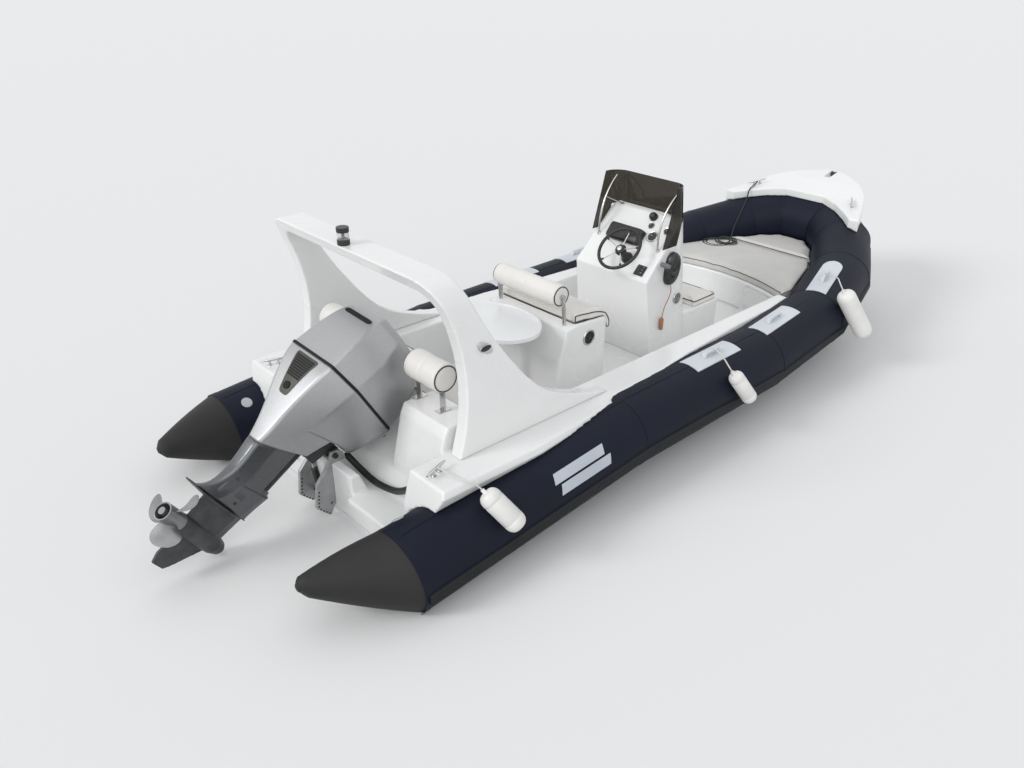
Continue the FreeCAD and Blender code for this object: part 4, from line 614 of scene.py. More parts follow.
def dress(node: str, finish: Finish, bevel: float = 0.0, crisp: float = 35.0) -> None:
    """Softens the edges of a node that keeps its own shape, and gives it its finish.

    Args:
        node: the node's name.
        finish: what it is made of.
        bevel: width of its rounded edges, in metres.
        crisp: edges sharper than this many degrees stay sharp.
    """
    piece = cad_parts[node]
    paint(piece, finish)
    weld = piece.modifiers.new("weld", "WELD")
    weld.merge_threshold = SAME_POINT
    if bevel:
        flat = piece.modifiers.new("flat", "DECIMATE")
        flat.decimate_type = "DISSOLVE"
        flat.angle_limit = math.radians(FLAT_DEGREES)
        edge = piece.modifiers.new("edge", "BEVEL")
        edge.width = bevel
        edge.segments = 3
        edge.limit_method = "ANGLE"
        edge.angle_limit = math.radians(BEVEL_FROM_DEGREES)
        edge.use_clamp_overlap = True
        edge.miter_outer = "MITER_ARC"
    shade(piece, crisp)
    if bevel:
        even = piece.modifiers.new("even", "WEIGHTED_NORMAL")
        even.keep_sharp = True
    LOG.info("%s keeps its shape", node)


def soften(piece: Object, voxel: float, rounds: int, keep: float) -> None:
    """Rounds every edge of a piece as a mould or a casting does.

    Args:
        piece: the piece, whose own mesh stays as it is.
        voxel: grain of the new skin, in metres.
        rounds: smoothing steps; more of them give rounder edges.
        keep: share of the new skin's faces that is kept.
    """
    skin = piece.modifiers.new("skin", "REMESH")
    skin.mode = "VOXEL"
    skin.voxel_size = voxel
    ease = piece.modifiers.new("ease", "SMOOTH")
    ease.factor = 0.5
    ease.iterations = rounds
    thin = piece.modifiers.new("thin", "DECIMATE")
    thin.ratio = keep
    shade(piece, SOFT_CRISP)


def mould(node: str, finish: Finish, voxel: float, rounds: int, keep: float = 0.3) -> None:
    """Gives a node soft moulded edges and its finish.

    Args:
        node: the node's name.
        finish: what it is made of.
        voxel: grain of the new skin, in metres.
        rounds: smoothing steps.
        keep: share of the new skin's faces that is kept.
    """
    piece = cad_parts[node]
    paint(piece, finish)
    soften(piece, voxel, rounds, keep)
    LOG.info("%s is softened", node)


def welded(node: str) -> tuple[list[Vector], list[tuple[int, ...]]]:
    """Reads a node's mesh with its shared corners merged.

    Args:
        node: the node's name.

    Returns:
        Its points, and its faces by point number.
    """
    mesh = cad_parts[node].data
    index: dict[tuple[int, ...], int] = {}
    points: list[Vector] = []
    merged = []
    for vertex in mesh.vertices:
        key = tuple(round(c * 1e5) for c in vertex.co)
        if key not in index:
            index[key] = len(points)
            points.append(vertex.co.copy())
        merged.append(index[key])
    faces = []
    for polygon in mesh.polygons:
        corners = tuple(dict.fromkeys(merged[i] for i in polygon.vertices))
        if len(corners) > 2:
            faces.append(corners)
    return points, faces


def edge_loops(node: str, keep: Callable[[Vector], bool]) -> list[list[Vector]]:
    """Finds the loops of a node's sharp edges.

    Args:
        node: the node's name.
        keep: tells whether an edge's end may be on a loop.

    Returns:
        The loops, as lists of points.
    """
    points, faces = welded(node)
    normals: dict[tuple[int, int], list[Vector]] = {}
    for face in faces:
        a, b, c = (points[i] for i in face[:3])
        normal = (b - a).cross(c - a).normalized()
        for i, start in enumerate(face):
            key = tuple(sorted((start, face[(i + 1) % len(face)])))
            normals.setdefault(key, []).append(normal)
    linked: dict[int, list[int]] = {}
    for (a, b), pair in normals.items():
        sharp = len(pair) == 2 and pair[0].dot(pair[1]) < 0.8
        if sharp and keep(points[a]) and keep(points[b]) and keep((points[a] + points[b]) / 2):
            linked.setdefault(a, []).append(b)
            linked.setdefault(b, []).append(a)
    loops = []
    while linked:
        start = next(iter(linked))
        line, here = [start], start
        while linked.get(here):
            after = linked[here].pop()
            linked[after].remove(here)
            line.append(after)
            here = after
        linked = {k: n for k, n in linked.items() if n}
        loops.append([points[i] for i in (line[:-1] if line[0] == line[-1] else line)])
    return loops


def resampled(loop: Sequence[Vector], step: float) -> list[Vector]:
    """Walks a closed loop in even steps.

    Args:
        loop: its corners.
        step: length of a step.

    Returns:
        The points reached.
    """
    line = [*loop, loop[0]]
    out, carry = [], 0.0
    for a, b in zip(line, line[1:]):
        length = (b - a).length
        at = carry
        while at < length:
            out.append(a.lerp(b, at / length))
            at += step
        carry = at - length
    return out


# Soft goods

SWELL_FRAMES = 20
PIPING_STEP = 0.012


@dataclass
class Cushion:
    """A stuffed pad that stands for a plain solid.

    Attributes:
        node: the solid it replaces.
        body: the body it rides on.
        finish: its cover.
        voxel: size of its mesh before it swells.
        cap: how far a point may move as it swells.
        inset: how much smaller it starts.
        seam: tells which sharp edges carry piping.
        fill: how tight it is; not used.
        piping: the piping's radius.
        pressure: how hard it is blown up.
    """

    node: str
    body: str
    finish: Finish
    voxel: float
    cap: float
    inset: float
    seam: Callable[[Vector], bool]
    fill: float = 0.7
    piping: float = 0.0045
    pressure: float = 4.0

    def shrunk(self) -> Object:
        """Makes the solid's copy, a little smaller and with an even mesh.

        Returns:
            The copy.
        """
        points, faces = welded(self.node)
        low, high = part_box(self.node)
        middle, size = (low + high) / 2, high - low
        share = [max(0.2, 1 - 2 * self.inset / s) for s in size]
        moved = []
        for p in points:
            q = Vector(middle[i] + (p[i] - middle[i]) * share[i] for i in range(3))
            q.z = low.z + (p.z - low.z) * (1 - self.inset / size.z)
            moved.append(q)
        pad = mesh_object(self.node + "_pad", moved, faces)
        even = pad.modifiers.new("even", "REMESH")
        even.mode = "VOXEL"
        even.voxel_size = self.voxel
        self.settle(pad)
        return pad

    def settle(self, pad: Object) -> None:
        """Applies the pad's modifiers to its mesh.

        Args:
            pad: the pad.
        """
        shown = pad.evaluated_get(bpy.context.evaluated_depsgraph_get())
        mesh = bpy.data.meshes.new_from_object(shown)
        pad.modifiers.clear()
        pad.data = mesh

    def swell(self, pad: Object) -> None:
        """Blows the pad up as cloth, with its underside held down.

        Args:
            pad: the pad.
        """
        before = np.array([v.co for v in pad.data.vertices])
        floor = before[:, 2].min()
        held = pad.vertex_groups.new(name="held")
        held.add([int(i) for i in np.where(before[:, 2] < floor + 0.004)[0]], 1.0, "REPLACE")
        cloth = pad.modifiers.new("swell", "CLOTH")
        cloth.settings.quality = 5
        cloth.settings.mass = 0.3
        cloth.settings.tension_stiffness = 12
        cloth.settings.compression_stiffness = 12
        cloth.settings.shear_stiffness = 6
        cloth.settings.bending_stiffness = 0.6
        cloth.settings.use_pressure = True
        cloth.settings.uniform_pressure_force = self.pressure
        cloth.settings.effector_weights.gravity = 0
        cloth.settings.vertex_group_mass = "held"
        cloth.point_cache.frame_start = 1
        cloth.point_cache.frame_end = SWELL_FRAMES
        scene = bpy.context.scene
        for number in range(1, SWELL_FRAMES + 1):
            scene.frame_set(number)
        self.settle(pad)
        scene.frame_set(1)
        after = np.array([v.co for v in pad.data.vertices])
        move = after - before
        length = np.linalg.norm(move, axis=1, keepdims=True)
        move *= np.minimum(1.0, self.cap / np.maximum(length, 1e-9))
        moved = before + move
        moved[:, 2] = np.maximum(moved[:, 2], floor)
        pad.data.vertices.foreach_set("co", moved.ravel())
        pad.data.update()

    def build(self) -> Object:
        """Makes the pad, and its piping as a piece of its own.

        Returns:
            The finished pad.
        """
        pad = self.shrunk()
        self.swell(pad)
        smooth = pad.modifiers.new("smooth", "SMOOTH")
        smooth.factor = 0.5
        smooth.iterations = 3
        self.settle(pad)
        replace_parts(pad, self.node)
        shade(pad, 80)
        finished(pad, self.finish, self.body)
        self.pipe(pad)
        return pad

    def pipe(self, pad: Object) -> None:
        """Sews piping along the seams, on the swollen surface.

        Args:
            pad: the pad.
        """
        mesh = pad.data
        tree = BVHTree.FromPolygons([v.co for v in mesh.vertices], [p.vertices for p in mesh.polygons])
        piping = Piece(self.node + "_piping", PIPING, self.body, 80)
        for loop in edge_loops(self.node, self.seam):
            line = []
            for point in resampled(loop, PIPING_STEP):
                spot, normal, _, _ = tree.find_nearest(point)
                line.append(spot + normal * self.piping * 0.3)
            for _ in range(3):
                line = [(line[i - 1] + p * 2 + line[(i + 1) % len(line)]) / 4 for i, p in enumerate(line)]
            if len(line) > 8:
                piping.tube(line, self.piping, 8, closed=True)
        if piping.faces:
            piping.build()


@dataclass
class Roll:
    """A round bolster with sewn seams and domed, piped ends.

    Attributes:
        name: the piece's name.
        node: the solid that it replaces.
        ends: the middle of each end face.
        radius: its radius.
        bands: places of the sewn seams, as shares of its length.
        puckers: small folds round each seam.
        around: points round it.
        beside_seam: where rings stand beside a seam.
        dome: the end's rings, as share of the radius and rise.
        piping: the piping's radius, and its place as a share of the roll's radius.
    """

    name: str
    node: str
    ends: tuple[Point, Point]
    radius: float
    bands: Sequence[float]
    puckers: int = 22
    around: int = 88
    beside_seam: Sequence[float] = (-0.02, -0.008, -0.003, 0.0, 0.003, 0.008, 0.02)
    dome: Pairs = ((0.7, 0.004), (0.3, 0.002), (0.05, 0.0))
    piping: tuple[float, float] = (0.0045, 0.86)

    def __post_init__(self) -> None:
        """Works out its axis and the places of its seams."""
        self.start, self.end = Vector(self.ends[0]), Vector(self.ends[1])
        self.length = (self.end - self.start).length
        self.along = (self.end - self.start).normalized()
        self.side, self.up = basis(self.along)
        self.stops = [0.0, *[b * self.length for b in self.bands], self.length]

    def places(self) -> list[float]:
        """Returns where its rings stand, closer together beside a seam."""
        near = {round(s + d, 5) for s in self.stops for d in self.beside_seam if 0 <= s + d <= self.length}
        return sorted(near | {self.length * i / 30 for i in range(31)})

    def ring(self, place: float) -> list[Vector]:
        """Makes one ring of the cover, drawn in at the seams and at the ends.

        Args:
            place: how far along the roll it stands.

        Returns:
            The ring's points.
        """
        near = min(abs(place - s) for s in self.stops)
        edge = min(place, self.length - place)
        swell = 1 - 0.045 * math.exp(-near / 0.007) - 0.02 * math.exp(-near / 0.04)
        swell *= 1 - 0.16 * max(0.0, 1 - edge / 0.014) ** 2
        out = []
        for turn in turns(self.around):
            fold = 0.006 * math.cos(self.puckers * turn + 3 * near) * math.exp(-near / 0.02)
            ray = self.side * math.cos(turn) + self.up * math.sin(turn)
            out.append(self.start + self.along * place + ray * self.radius * (swell + fold))
        return out

    def build(self) -> None:
        """Builds the roll and its piping."""
        start, end, along = self.start, self.end, self.along
        rows = [self.ring(place) for place in self.places()]
        first = [[start - along * d + (p - start) * s for p in rows[0]] for s, d in reversed(self.dome)]
        last = [[end + along * d + (p - end) * s for p in rows[-1]] for s, d in self.dome]
        roll = Piece(self.name, SEAT_VINYL, "boat", 60)
        roll.grid(first + rows + last)
        made = roll.build()
        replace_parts(made, self.node)
        piping = Piece(self.name + "_piping", PIPING, "boat", 80)
        radius, share = self.piping
        for middle in (start + along * 0.002, end - along * 0.002):
            piping.tube(circle(middle, self.side, self.up, self.radius * share, 64), radius, 8, closed=True)
        piping.build()


# Buoyancy tubes


@dataclass
class Station:
    """A place on a tube's centre line, with its own directions and the plane it is cut by."""

    centre: Vector
    along: Vector
    cut: Vector

    def __post_init__(self) -> None:
        """Works out which way is outboard and which is up."""
        self.out = Vector((0, 0, 1)).cross(self.along).normalized()
        self.up = self.along.cross(self.out)

    def place(self, outward: float, upward: float) -> Vector:
        """Returns a point beside the centre line, slid into the plane of the cut."""
        offset = self.out * outward + self.up * upward
        return self.centre + offset - self.along * (offset.dot(self.cut) / self.along.dot(self.cut))

    def at(self, degrees: float, reach: float) -> Vector:
        """Returns a point round the tube; 0 is outboard and 90 is on top."""
        turn = math.radians(degrees)
        return self.place(math.cos(turn) * reach, math.sin(turn) * reach)


@dataclass
class Tubes:
    """The horseshoe of buoyancy tubes with its cones, seams, pads and strakes."""

    radius: float = 0.260
    line: Sequence[Point] = (
        (-2.820, 1.055, 0.195), (-1.000, 1.050, 0.362), (0.600, 1.050, 0.380), (1.500, 1.000, 0.440),
        (2.250, 0.800, 0.560), (2.760, 0.520, 0.680), (3.000, 0.240, 0.745),
    )
    cone_tip: Point = (-3.362, 0.905, 0.300)
    cone_tip_radius: float = 0.052
    cone_swell: float = 0.012
    cone_shares: Sequence[float] = (1.0, 0.9, 0.75, 0.6, 0.45, 0.3, 0.18, 0.1, 0.05, 0.02, 0.006, 0.0)
    cone_cap: Pairs = ((-0.010, 0.004), (-0.009, 0.018), (-0.004, 0.026), (0.004, 0.030))
    hem_section: Pairs = (
        # along the tube, proud of its skin
        (-0.022, -0.001), (-0.022, 0.002), (0.022, 0.002), (0.022, -0.001),
    )
    seam_half: float = 0.016
    seam_proud: float = 0.0016
    patch_proud: float = 0.0022
    strake_rise: float = 0.035
    strake_drop: float = -0.040
    strake_depth: float = 0.020
    strake_rib: float = 0.0035
    valve_x: float = -2.715
    valve_lean: float = 35.0
    stripes: Sequence[tuple[float, float, float, float, float]] = (
        # aft x, forward x, lower and upper angle, slant of the ends
        (-1.800, -1.372, 31.5, 46.0, 0.020), (-1.776, -1.346, 14.0, 28.5, 0.020),
    )

    def __post_init__(self) -> None:
        """Works out the whole run, from the port stern round the bow to the starboard stern."""
        port = [Vector(p) for p in self.line]
        self.corners = port + [Vector((p.x, -p.y, p.z)) for p in reversed(port)]
        self.run = self.stations()

    def heading(self, number: int) -> Vector:
        """Returns the direction of the length of tube that starts at a corner."""
        number = max(0, min(number, len(self.corners) - 2))
        return (self.corners[number + 1] - self.corners[number]).normalized()

    def mitre(self, number: int, step: float = 0.0) -> Station:
        """Makes the station in the plane of a corner's joint, or beside it along the tube.

        Args:
            number: which corner.
            step: how far beside the joint, aft when negative.

        Returns:
            The station.
        """
        before, after = self.heading(number - 1), self.heading(number)
        along = before if step <= 0 else after
        return Station(self.corners[number] + along * step, along, (before + after).normalized())

    def stations(self) -> list[Station]:
        """Lays stations along the centre line: one at each joint, others between.

        Returns:
            The stations in order.
        """
        last = len(self.corners) - 1
        run = [Station(self.corners[0], self.heading(0), self.heading(0))]
        for number in range(last):
            start, end, along = self.corners[number], self.corners[number + 1], self.heading(number)
            parts = max(2, math.ceil((end - start).length / 0.15))
            run += [Station(start.lerp(end, k / parts), along, along) for k in range(1, parts)
                    if 0.17 < (end - start).length * k / parts < (end - start).length - 0.17]
            run.append(self.mitre(number + 1) if number + 1 < last else Station(end, along, along))
        return run

    def strip(self, piece: Piece, stations: Sequence[Station], low: float, high: float, proud: float,
              steps: int) -> None:
        """Adds a thin strip on the tubes' skin between two angles.

        Args:
            piece: what it is added to.
            stations: where it runs.
            low: its lower angle.
            high: its upper angle.
            proud: how far it stands out.
            steps: faces across it.
        """
        rows = []
        for station in stations:
            angles = [low + (high - low) * k / steps for k in range(steps + 1)]
            outer = [station.at(angle, self.radius + proud) for angle in angles]
            inner = [station.at(angle, self.radius - 0.001) for angle in angles]
            rows.append(outer + inner[::-1])
        piece.grid(rows)

    def skin(self) -> None:
        """One smooth skin over the three tubes."""
        skin = Piece("tube_skin", TUBE_CLOTH, "boat", 12)
        count = 72
        angles = [360 * k / count for k in range(count)]
        skin.grid([[s.at(a, self.radius) for a in angles] for s in self.run])
        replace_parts(skin.build(), "tube_port", "tube_starboard", "tube_bow")

    def seams(self) -> None:
        """Glued bands over the joints between the lengths of tube."""
        bands = Piece("tube_seam_bands", TUBE_CLOTH, "boat", 12)
        for number in range(1, len(self.corners) - 1):
            steps = (-self.seam_half, 0.0, self.seam_half)
            before, joint, after = (self.mitre(number, step) for step in steps)
            rows = []
            for station, proud in ((before, -0.001), (before, self.seam_proud), (joint, self.seam_proud),
                                   (after, self.seam_proud), (after, -0.001)):
                rows.append([station.at(5 * k, self.radius + proud) for k in range(72)])
            bands.grid(rows, ends=False)
        bands.build()
        hem = Piece("tube_bonding_strips", TUBE_CLOTH, "boat", 50)
        whole = [s for s in self.run if s.centre.x < 1.3 and abs(s.centre.y) > 0.9]
        for sign in (1, -1):
            side = [s for s in whole if s.centre.y * sign > 0]
            self.strip(hem, side, 84, 99, self.patch_proud, 6)
        hem.build()

    def cone_radius(self, share: float) -> float:
        """Works out a cone's radius, which swells in the middle and rounds off at the tip.

        Args:
            share: place from the tip, 0, to the tube's end, 1.

        Returns:
            The radius there.
        """
        tip = self.cone_tip_radius
        radius = tip + (self.radius - tip) * share + self.cone_swell * math.sin(math.pi * share)
        blunt = 0.05
        return radius * (min(1.0, math.sqrt(share / blunt) * 0.55 + 0.45) if share < blunt else 1.0)

    def cones(self) -> None:
        """Blunt stern cones, slightly swollen, with a hem where they meet the tubes."""
        cones = Piece("cone_skin", CONE_CLOTH, "boat", 60)
        hems = Piece("cone_hems", TUBE_CLOTH, "boat", 50)
        caps = Piece("cone_caps", CONE_CLOTH, "boat", 50)
        end, tip = self.run[0], Vector(self.cone_tip)
        rows = [circle(tip.lerp(end.centre, share), end.out, end.up, self.cone_radius(share), 64)
                for share in self.cone_shares]
        hem = [circle(end.centre + end.along * step, end.out, end.up, self.radius + proud, 64)
               for step, proud in self.hem_section]
        for sign in (1, -1):
            cones.grid([[mirrored(p, sign) for p in row] for row in rows])
            hems.grid([[mirrored(p, sign) for p in row] for row in hem], ends=False)
            caps.lathe(self.cone_cap, mirrored(tip, sign), mirrored(end.along, sign), 28)
        made = cones.build()
        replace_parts(made, "tube_cones")
        hems.build()
        caps.build()

    def strakes(self) -> None:
        """Ribbed rubbing strakes along the outer side."""
        section, rise = [], self.strake_rise
        for k in range(25):
            t = -1 + 2 * k / 24
            rib = self.strake_rib * math.cos(t * 3 * math.pi) * (1 - t * t)
            bulge = self.strake_depth * math.sqrt(max(0.0, 1 - t ** 4))
            section.append((self.radius - 0.004 + bulge + rib, t * rise))
        section += [(self.radius - 0.03, rise * 0.8), (self.radius - 0.03, -rise * 0.8)]
        strakes = Piece("strake_skin", STRAKE, "boat", 50)
        for sign in (1, -1):
            side = [s for s in self.run if s.centre.y * sign > 0.23]
            strakes.grid([[s.place(a, b + self.strake_drop) for a, b in section] for s in side])
        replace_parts(strakes.build(), "rub_strakes")

    def stripe_patches(self) -> None:
        """Two plain light stripes on the starboard tube."""
        patches = Piece("tube_stripes", STRIPE, "boat", 50)
        for aft, forward, low, high, slant in self.stripes:
            rows = []
            for k in range(9):
                x = aft + (forward - aft) * k / 8
                rows.append([self.starboard_at(x - slant * m / 6).at(
                    high + (low - high) * m / 6, self.radius + self.patch_proud) for m in range(7)])
            under = [[p - Vector((0, -0.7, 0.7)) * 0.003 for p in row] for row in rows]
            patches.grid([a + b[::-1] for a, b in zip(rows, under)])
        patches.build()

    def starboard_at(self, x: float) -> Station:
        """Finds the starboard station at a place along the boat.

        Args:
            x: the place.

        Returns:
            The station.
        """
        side = [s for s in self.run if s.centre.y < -0.3]
        for a, b in zip(side, side[1:]):
            if b.centre.x <= x <= a.centre.x:
                share = (a.centre.x - x) / (a.centre.x - b.centre.x)
                return Station(a.centre.lerp(b.centre, share), b.along, b.along)
        return side[-1]

    def valves(self) -> None:
        """Screw caps of the inflation valves, with a raised rim."""
        caps = Piece("valve_caps", VALVE, "boat", 30)
        start, end = self.corners[0], self.corners[1]
        centre = start.lerp(end, (self.valve_x - start.x) / (end.x - start.x))
        lean = math.radians(self.valve_lean)
        for sign in (1, -1):
            out = Vector((0, -sign * math.sin(lean), math.cos(lean)))
            top = mirrored(centre, sign) + out * self.radius
            caps.lathe([(0.0, 0.038), (0.004, 0.038), (0.005, 0.034)], top, out, 40)
            caps.lathe([(0.004, 0.030), (0.0065, 0.029), (0.007, 0.026), (0.006, 0.012), (0.0068, 0.004)],
                       top, out, 24)
        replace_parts(caps.build(), "inflation_valves")

    def build(self) -> None:
        """Builds everything on the tubes."""
        self.skin()
        self.seams()
        self.cones()
        self.strakes()
        self.stripe_patches()
        self.valves()
        dress("handle_pads", PAD_CLOTH, 0.0, 50)
        dress("grab_handles", PAD_CLOTH, 0.004)


# Hull, deck and bow

DECK_NODES = ("deck_liner", "foredeck")


@dataclass
class HullAndDeck:
    """The moulded hull, the inner moulding and what is bolted to them.

    Attributes:
        hull_edge: width of the hull's rounded edges.
        door_edge: the same for the locker door.
        deck_skin: grain, smoothing steps and kept share of the inner moulding's skin.
        cap_skin: the same for the nose cap.
    """

    hull_edge: float = 0.006
    door_edge: float = 0.003
    deck_skin: tuple[float, int, float] = (0.008, 9, 0.18)
    cap_skin: tuple[float, int, float] = (0.006, 24, 0.2)

    def moulding(self) -> None:
        """One skin over the inner moulding, without the joint between its two parts."""
        points: list[Vector] = []
        faces: list[tuple[int, ...]] = []
        for node in DECK_NODES:
            more, corners = welded(node)
            faces += [tuple(i + len(points) for i in face) for face in corners]
            points += more
        skin = mesh_object("deck_skin", points, faces)
        soften(skin, *self.deck_skin)
        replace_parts(skin, *DECK_NODES)
        finished(skin, WHITE_DECK, "boat")

    def build(self) -> None:
        """Dresses the mouldings and the bow fittings."""
        dress("hull", WHITE_HULL, self.hull_edge, 25)
        self.moulding()
        mould("nose_cap", WHITE_DECK, *self.cap_skin)
        dress("bow_roller", ROLLER)
        for node in ("bow_cleats", "stern_cleats", "towing_eye"):
            dress(node, STEEL, 0.0, 40)
        dress("locker_door", WHITE_DECK, self.door_edge)


# Helm


@dataclass
class Helm:
    """Console, screen, wheel, dials and throttle."""

    dash_foot: Point = (0.020, 0.0, 0.960)
    dash_up: Point = (0.71321347, 0.0, 0.7009469)
    wheel_along: float = 0.146
    wheel_across: float = -0.083
    wheel_standoff: float = 0.145
    wheel_radius: float = 0.176
    rim_radius: float = 0.013
    dials: Sequence[tuple[float, float, float]] = (
        # along and across the dash, radius
        (0.461, -0.122, 0.028), (0.376, -0.189, 0.048), (0.451, -0.287, 0.033),
    )
    switches: Point = (0.081, -0.262, 0.045)
    compass: Sequence[float] = (0.535, -0.100, 0.034)
    pod_from: float = 0.262
    pod_to: float = 0.392
    pod_centre: float = 0.045
    pod_half: float = 0.165
    throttle_outline: Pairs = (
        (0.262, 1.120), (0.300, 1.150), (0.345, 1.140), (0.378, 1.095), (0.382, 1.030), (0.366, 0.960),
        (0.335, 0.905), (0.290, 0.880), (0.245, 0.890), (0.222, 0.930), (0.226, 0.990), (0.240, 1.060),
    )
    throttle_middle: tuple[float, float] = (0.303, 1.010)
    throttle_levels: Pairs = (
        # how far out, share of the outline
        (0.0, 0.94), (0.012, 1.0), (0.034, 0.985), (0.050, 0.92), (0.060, 0.80), (0.0645, 0.60), (0.066, 0.3),
    )
    lever_route: Sequence[Point] = (
        # place along the boat, how far out, height
        (0.290, 0.074, 0.985), (0.235, 0.078, 1.010), (0.185, 0.079, 1.045), (0.150, 0.078, 1.085),
    )
    lever_radius: float = 0.0135
    grip_at: Point = (0.147, 0.078, 1.090)
    horn_at: tuple[float, float] = (0.410, 0.735)
    horn_radius: float = 0.050

    def __post_init__(self) -> None:
        """Works out the dash's directions."""
        self.up = Vector(self.dash_up)
        self.out = Vector((-self.up.z, 0.0, self.up.x))
        self.side = Vector((0, 1, 0))

    def on_dash(self, along: float, across: float, height: float) -> Vector:
        """Returns a point by its place on the dash."""
        return Vector(self.dash_foot) + self.up * along + self.side * across + self.out * height

    def ray(self, turn: float) -> Vector:
        """Returns a direction in the dash's plane; an angle of 0 is to port and a quarter turn is up."""
        return self.up * math.sin(turn) + self.side * math.cos(turn)

    def wheel(self) -> None:
        """Rim with its grips, thin spokes, and the hub with a bright cap."""
        centre = self.on_dash(self.wheel_along, self.wheel_across, self.wheel_standoff)
        rim = Piece("wheel_rim", WHEEL_BLACK, "wheel", 60)
        rows = []
        for t in turns(120):
            ray = self.ray(t)
            grip = 1 + 0.05 * math.cos(30 * t)
            rows.append([centre + ray * (self.wheel_radius + self.rim_radius * grip * math.cos(a))
                         + self.out * self.rim_radius * math.sin(a) for a in turns(16)])
        rim.grid(rows, close=True)
        back = -self.wheel_standoff
        rim.lathe([(back + 0.001, 0.048), (back + 0.012, 0.047), (back + 0.03, 0.036), (back + 0.05, 0.030),
                   (back + 0.085, 0.028), (back + 0.105, 0.030), (-0.036, 0.044), (-0.02, 0.046),
                   (-0.006, 0.038), (0.0, 0.028)], centre, self.out, 40)
        spokes = Piece("wheel_spokes", STEEL, "wheel", 60)
        for i in range(5):
            ray = self.ray(math.radians(90 + 72 * i))
            inner = centre - self.out * 0.014 + ray * 0.034
            outer = centre + ray * self.wheel_radius
            spokes.tube([inner, inner.lerp(outer, 0.3) - self.out * 0.002, outer], 0.0042, 10)
            rim.tube([inner.lerp(outer, 0.78), inner.lerp(outer, 0.82), outer], 0.0085, 12)
        spokes.lathe([(-0.003, 0.022), (0.004, 0.021), (0.008, 0.017), (0.010, 0.010), (0.011, 0.002)],
                     centre, self.out, 32)
        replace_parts(rim.build(), "steering_wheel")
        spokes.build()

    def instruments(self) -> None:
        """Dials with bright bezels, the switch panel and the compass."""
        faces = Piece("dial_faces", DIAL, "boat")
        bezels = Piece("dial_bezels", STEEL, "boat")
        marks = Piece("dial_marks", MARKS, "boat")
        for along, across, radius in self.dials:
            seat = self.on_dash(along, across, 0.0003)
            bezels.lathe([(0.0, radius), (0.007, radius), (0.010, radius * 0.93), (0.0085, radius * 0.82),
                          (0.004, radius * 0.80)], seat, self.out, 40, ends=False)
            faces.lathe([(0.0, radius * 0.86), (0.0045, radius * 0.84), (0.0047, 0.001)], seat, self.out, 32)
            face = seat + self.out * 0.005
            for k in range(11):
                ray = self.ray(math.radians(-30 + 24 * k))
                turn = self.out.cross(ray)
                long = 0.18 if k % 5 == 0 else 0.11
                marks.block(face + ray * radius * (0.78 - long / 2), (radius * long, radius * 0.035, 0.0006),
                            (ray, turn))
            needle = (self.up * 0.5 + self.side * 0.86).normalized()
            marks.block(face + needle * radius * 0.24, (radius * 0.62, radius * 0.05, 0.0009),
                        (needle, self.out.cross(needle)))
            faces.lathe([(0.0, radius * 0.12), (0.002, radius * 0.12), (0.003, radius * 0.06)],
                        face, self.out, 16)
        along, across, half = self.switches
        faces.block(self.on_dash(along, across, 0.0045), (2 * half, 2 * half, 0.0085), (self.up, self.side),
                    0.004)
        for row in (-1, 0, 1):
            for column in (-1, 1):
                spot = self.on_dash(along + row * half * 0.55, across + column * half * 0.45, 0.0105)
                tilt = (self.up + self.out * 0.12 * column).normalized()
                faces.block(spot, (half * 0.42, half * 0.62, 0.005), (tilt, self.side), 0.0018)
                marks.block(spot + self.out * 0.0027 + self.up * half * 0.12, (0.002, half * 0.3, 0.0004),
                            (self.up, self.side))
        along, across, radius = self.compass
        faces.lathe([(0.0, radius), (0.014, radius), (0.022, radius * 0.97), (0.034, radius * 0.86),
                     (0.044, radius * 0.62), (0.050, radius * 0.3), (0.0515, 0.002)],
                    self.on_dash(along, across, 0.0003), self.out, 36)
        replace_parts(faces.build(), "gauges")
        bezels.build()
        marks.build()

    def pod(self) -> None:
        """Hooded instrument housing with a dark display under its brow."""
        hood = Piece("pod_hood", DASH, "boat", 30)
        y0, y1 = self.pod_centre - self.pod_half, self.pod_centre + self.pod_half
        low, high = self.pod_from, self.pod_to
        outline = [(low, 0.0005), (low - 0.004, 0.020), (low + 0.004, 0.045), (low + 0.020, 0.054),
                   (high - 0.03, 0.064), (high - 0.006, 0.058), (high, 0.03), (high, 0.0005)]
        rows = []
        for share, pinch in ((0.0, 0.80), (0.03, 0.93), (0.1, 1.0), (0.9, 1.0), (0.97, 0.93), (1.0, 0.80)):
            y = y0 + (y1 - y0) * share
            mid = (low + high) / 2
            rows.append([self.on_dash(mid + (a - mid) * (0.5 + pinch / 2), y, h * pinch) for a, h in outline])
        hood.grid(rows)
        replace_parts(hood.build(), "instrument_pod")
        screen = Piece("pod_display", DIAL, "boat", 30)
        screen.block(self.on_dash(low - 0.0055, self.pod_centre, 0.026), (0.026, 0.23, 0.005),
                     (self.out, self.side), 0.002)
        screen.build()

